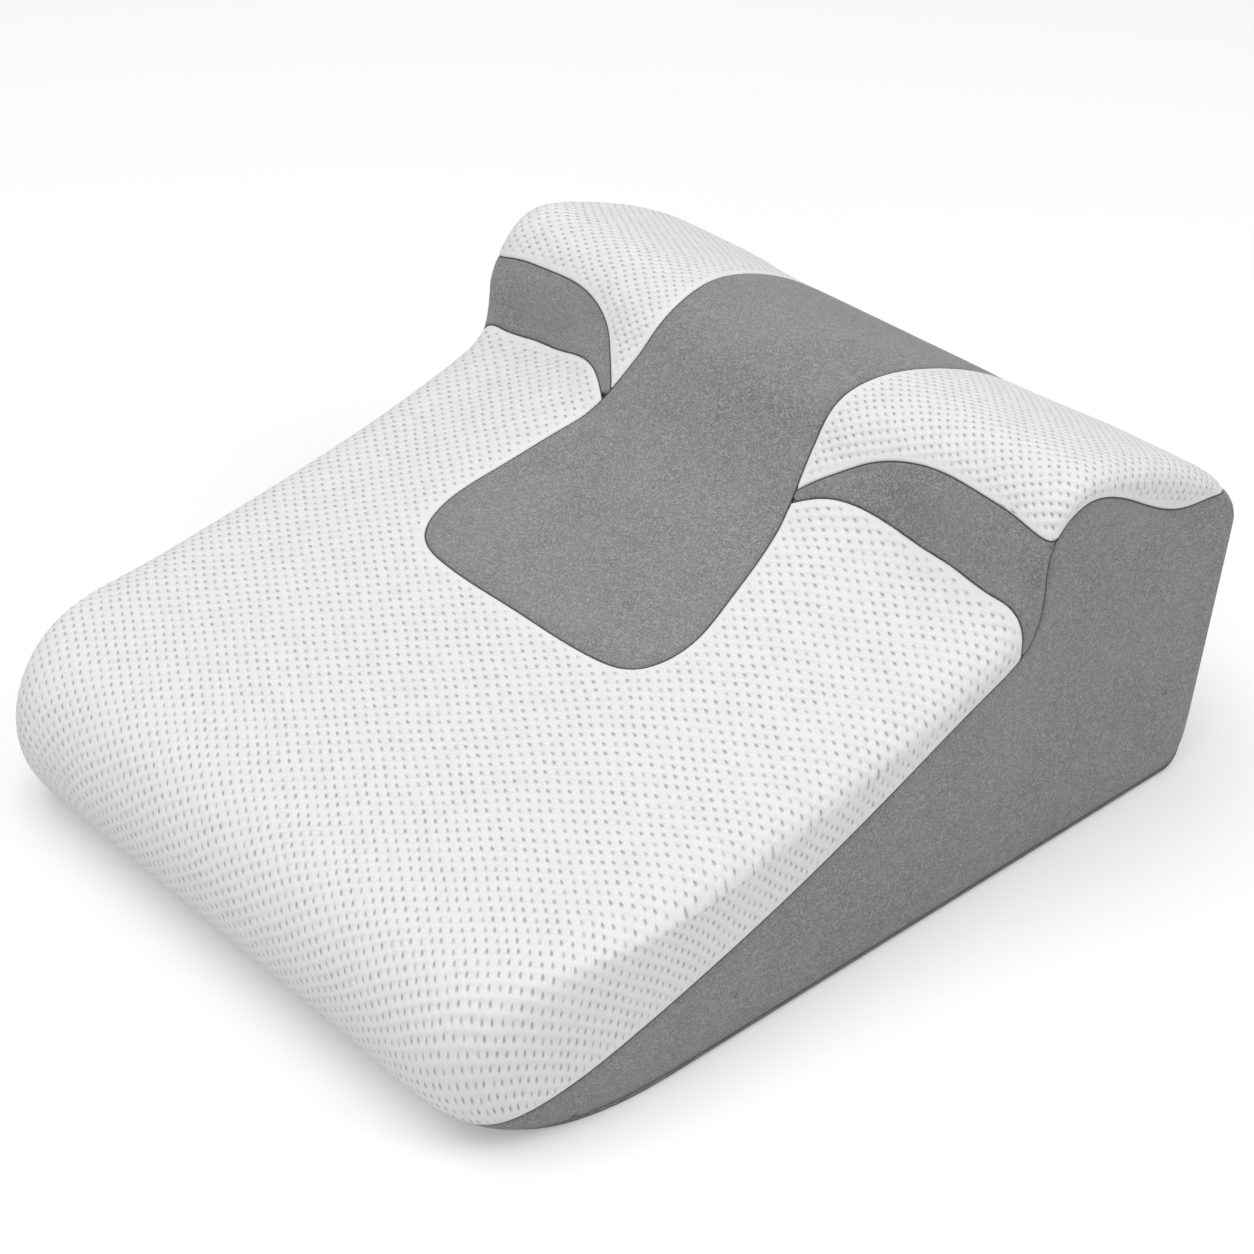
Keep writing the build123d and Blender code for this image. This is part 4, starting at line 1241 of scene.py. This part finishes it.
# ---------------------------------------------------------------------------
# Zip. A nylon coil zip lies across the back between two turned hems. Each
# coil is one wound filament sewn to its woven tape, and the hems are
# topstitched to the tapes.
# ---------------------------------------------------------------------------
COIL_HALF_LENGTH, COIL_TURNS = 0.1978, 312
COIL_HEIGHT, COIL_WIDTH, COIL_WIRE = 0.0018, 0.0029, 0.00052
COIL_OVERLAP, COIL_SINK = 0.00035, 0.00025
HEM_INSET = 2.4
lean = math.radians(BACK_LEAN)
zip_frame = Matrix((
    (1.0, 0.0, 0.0, 0.0),
    (0.0, -math.sin(lean), math.cos(lean), (back_line(ZIP_HEIGHT) - DEPTH / 2) * 0.001),
    (0.0, -math.cos(lean), -math.sin(lean), ZIP_HEIGHT * 0.001),
    (0.0, 0.0, 0.0, 1.0),
))


def tape_material():
    """Herringbone woven polyester tape."""
    nodes = Nodes("zip_tape")
    place = nodes.place()
    herringbone, ribs = nodes.wave(place, 450.0, "DIAGONAL", 0.3), nodes.wave(place, 300.0, "Z")
    weave = nodes.math("MULTIPLY_ADD", herringbone, 0.6, nodes.math("MULTIPLY", ribs, 0.4))
    shade = nodes.blend(weave, (0.13, 0.13, 0.135), (0.25, 0.25, 0.26))
    return nodes.finish(shade, nodes.bump(weave, 0.00015), Roughness=0.85)


def nylon_material():
    """Drawn nylon, slightly worn."""
    nodes = Nodes("zip_nylon")
    wear = nodes.noise(nodes.place(), 500.0)
    shade = nodes.blend(wear, (0.14, 0.14, 0.145), (0.24, 0.24, 0.25))
    return nodes.finish(shade, nodes.bump(wear, 0.00004), Roughness=0.38)


def metal_material(name, low, high, roughness):
    """Cast zinc: tumbled finish with fine scratches and a cloudy tone."""
    nodes = Nodes(name)
    place = nodes.place()
    stretch = nodes.add("ShaderNodeMapping", {"Vector": place, "Scale": (0.15, 1.0, 1.0)})
    scratch = nodes.noise(stretch.outputs[0], 2600.0, 4.0, 0.65)
    shade = nodes.blend(nodes.ramp(nodes.noise(place, 160.0), 0.3, 0.7), low, high)
    rough = nodes.ramp(scratch, 0.3, 0.7, roughness - 0.08, roughness + 0.1)
    relief = nodes.bump(scratch, 0.00003, 0.6)
    return nodes.finish(shade, relief, Roughness=rough, Metallic=1.0)


def coil(name, material, first, side):
    """One wound filament along the zip, standing on its tape."""
    tree = Tree("wound_" + name, {"Turns": float(COIL_TURNS), "Length": 2 * COIL_HALF_LENGTH,
                                  "Wire": COIL_WIRE / 2, "Nylon": material})
    given = tree.given.outputs
    wound = tree.add("GeometryNodeCurveSpiral", {
        "Resolution": 12, "Rotations": given["Turns"], "Start Radius": 0.5, "End Radius": 0.5,
        "Height": given["Length"]})
    # the spiral stands along Z: lay it along the zip and flatten it onto the tape
    flat = tree.add("GeometryNodeTransform", {
        "Geometry": wound.outputs[0], "Scale": (COIL_HEIGHT, COIL_WIDTH, 1.0)})
    middle = (first - COIL_HALF_LENGTH, side * (COIL_WIDTH / 2 - COIL_OVERLAP), -COIL_SINK)
    laid = tree.add("GeometryNodeTransform", {
        "Geometry": flat.outputs[0], "Rotation": (0.0, math.pi / 2, 0.0), "Translation": middle})
    wire = tree.add("GeometryNodeCurvePrimitiveCircle", {"Resolution": 5, "Radius": given["Wire"]})
    tube = tree.add("GeometryNodeCurveToMesh", {
        "Curve": laid.outputs[0], "Profile Curve": wire.outputs[0], "Fill Caps": True})
    base = add_object(name + "_base", bpy.data.meshes.new(name + "_base"))
    piece = tree.run(name, base, tube.outputs[0], "Nylon")
    piece.data.transform(zip_frame)
    return piece


nylon = nylon_material()
half_pitch = COIL_HALF_LENGTH / COIL_TURNS
for name, node, side, first in (("coil_upper", "zip_coil_upper", -1, 0.0),
                                ("coil_lower", "zip_coil_lower", 1, half_pitch)):
    piece = coil(name, nylon, first, side)
    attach(piece, "pillow")
    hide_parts(node)

# the topstitch runs round the opening, a little outside the turned hem
reach_x, reach_y = ZIP_HALF_LENGTH - ZIP_CORNER, ZIP_OPENING / 2 - ZIP_CORNER
loop = []
for quarter, (sx, sy) in enumerate(((1, 1), (-1, 1), (-1, -1), (1, -1))):
    for angle in np.linspace(0.0, math.pi / 2, 7) + quarter * math.pi / 2:
        loop.append((sx * reach_x + (ZIP_CORNER + HEM_INSET) * math.cos(angle),
                     sy * reach_y + (ZIP_CORNER + HEM_INSET) * math.sin(angle)))
hem_line = [(zip_frame @ Vector((u * 0.001, v * 0.001, 0.0001)))[:] for u, v in loop + loop[:1]]
stitched("hem_topstitch", [np.array(hem_line) * 1000.0],
         thread_material("grey_thread", (0.26, 0.26, 0.265)), 0.003, 0.0006)

zip_tape = tape_material()
stop_metal = metal_material("stop_metal", (0.5, 0.5, 0.51), (0.66, 0.66, 0.67), 0.32)
slider_metal = metal_material("slider_metal", (0.2, 0.2, 0.21), (0.3, 0.3, 0.31), 0.36)
for node, material in (
    ("zip_tape_upper", zip_tape),
    ("zip_tape_lower", zip_tape),
    ("zip_top_stops", stop_metal),
    ("zip_bottom_stop", stop_metal),
    ("zip_slider", slider_metal),
    ("pull_tab", slider_metal),
):
    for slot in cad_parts[node].material_slots:
        slot.material = material

# ---------------------------------------------------------------------------
# Stage. A plain pale floor keeps the soft shadow. A large overhead panel, two
# smaller ones and an even surround light the cushion.
# ---------------------------------------------------------------------------
FLOOR_REACH, FLOOR_GLOW = 12.0, 0.25

floor_nodes = Nodes("floor")
rays = floor_nodes.add("ShaderNodeLightPath").outputs
seen = floor_nodes.math("ADD", rays["Is Camera Ray"], rays["Is Glossy Ray"], clamp=True)
glow = floor_nodes.math("MULTIPLY", seen, FLOOR_GLOW)
floor_paint = floor_nodes.finish((0.76, 0.76, 0.76, 1.0), Roughness=1.0, Specular_IOR_Level=0.0,
                                 Emission_Color=(1.0, 1.0, 1.0, 1.0), Emission_Strength=glow)
corners = [(x * FLOOR_REACH, y * FLOOR_REACH, 0.0) for x, y in ((-1, -1), (1, -1), (1, 1), (-1, 1))]
floor_mesh = bpy.data.meshes.new("floor")
floor_mesh.from_pydata(corners, [], [(0, 1, 2, 3)])
floor_mesh.materials.append(floor_paint)
floor = add_object("floor", floor_mesh)

world = bpy.data.worlds.new("surround")
world.use_nodes = True
bpy.context.scene.world = world
rays = add_node(world.node_tree, "ShaderNodeLightPath").outputs
level = add_node(world.node_tree, "ShaderNodeMapRange",
                 {"Value": rays["Is Camera Ray"], "To Min": 0.5, "To Max": 1.0})
surround = world.node_tree.nodes["Background"]
surround.inputs["Color"].default_value = (1.0, 1.0, 1.0, 1.0)
world.node_tree.links.new(level.outputs["Result"], surround.inputs["Strength"])


def panel_light(name, place, aim, size, power):
    """A square light panel in metres and watts, turned toward its aim."""
    data = bpy.data.lights.new(name, "AREA")
    data.shape, data.size, data.energy = "SQUARE", size, power
    lamp = add_object(name, data)
    lamp.location = place
    lamp.rotation_euler = (Vector(aim) - Vector(place)).to_track_quat("-Z", "Y").to_euler()


panel_light("key_panel", (2.1, 1.3, 2.5), (0.1, 0.0, 0.1), 1.8, 24.0)
panel_light("overhead_panel", (-0.4, -0.5, 3.2), (0.0, 0.0, 0.1), 2.6, 51.0)
panel_light("front_panel", (1.6, -2.2, 1.6), (0.0, 0.0, 0.1), 1.8, 13.0)
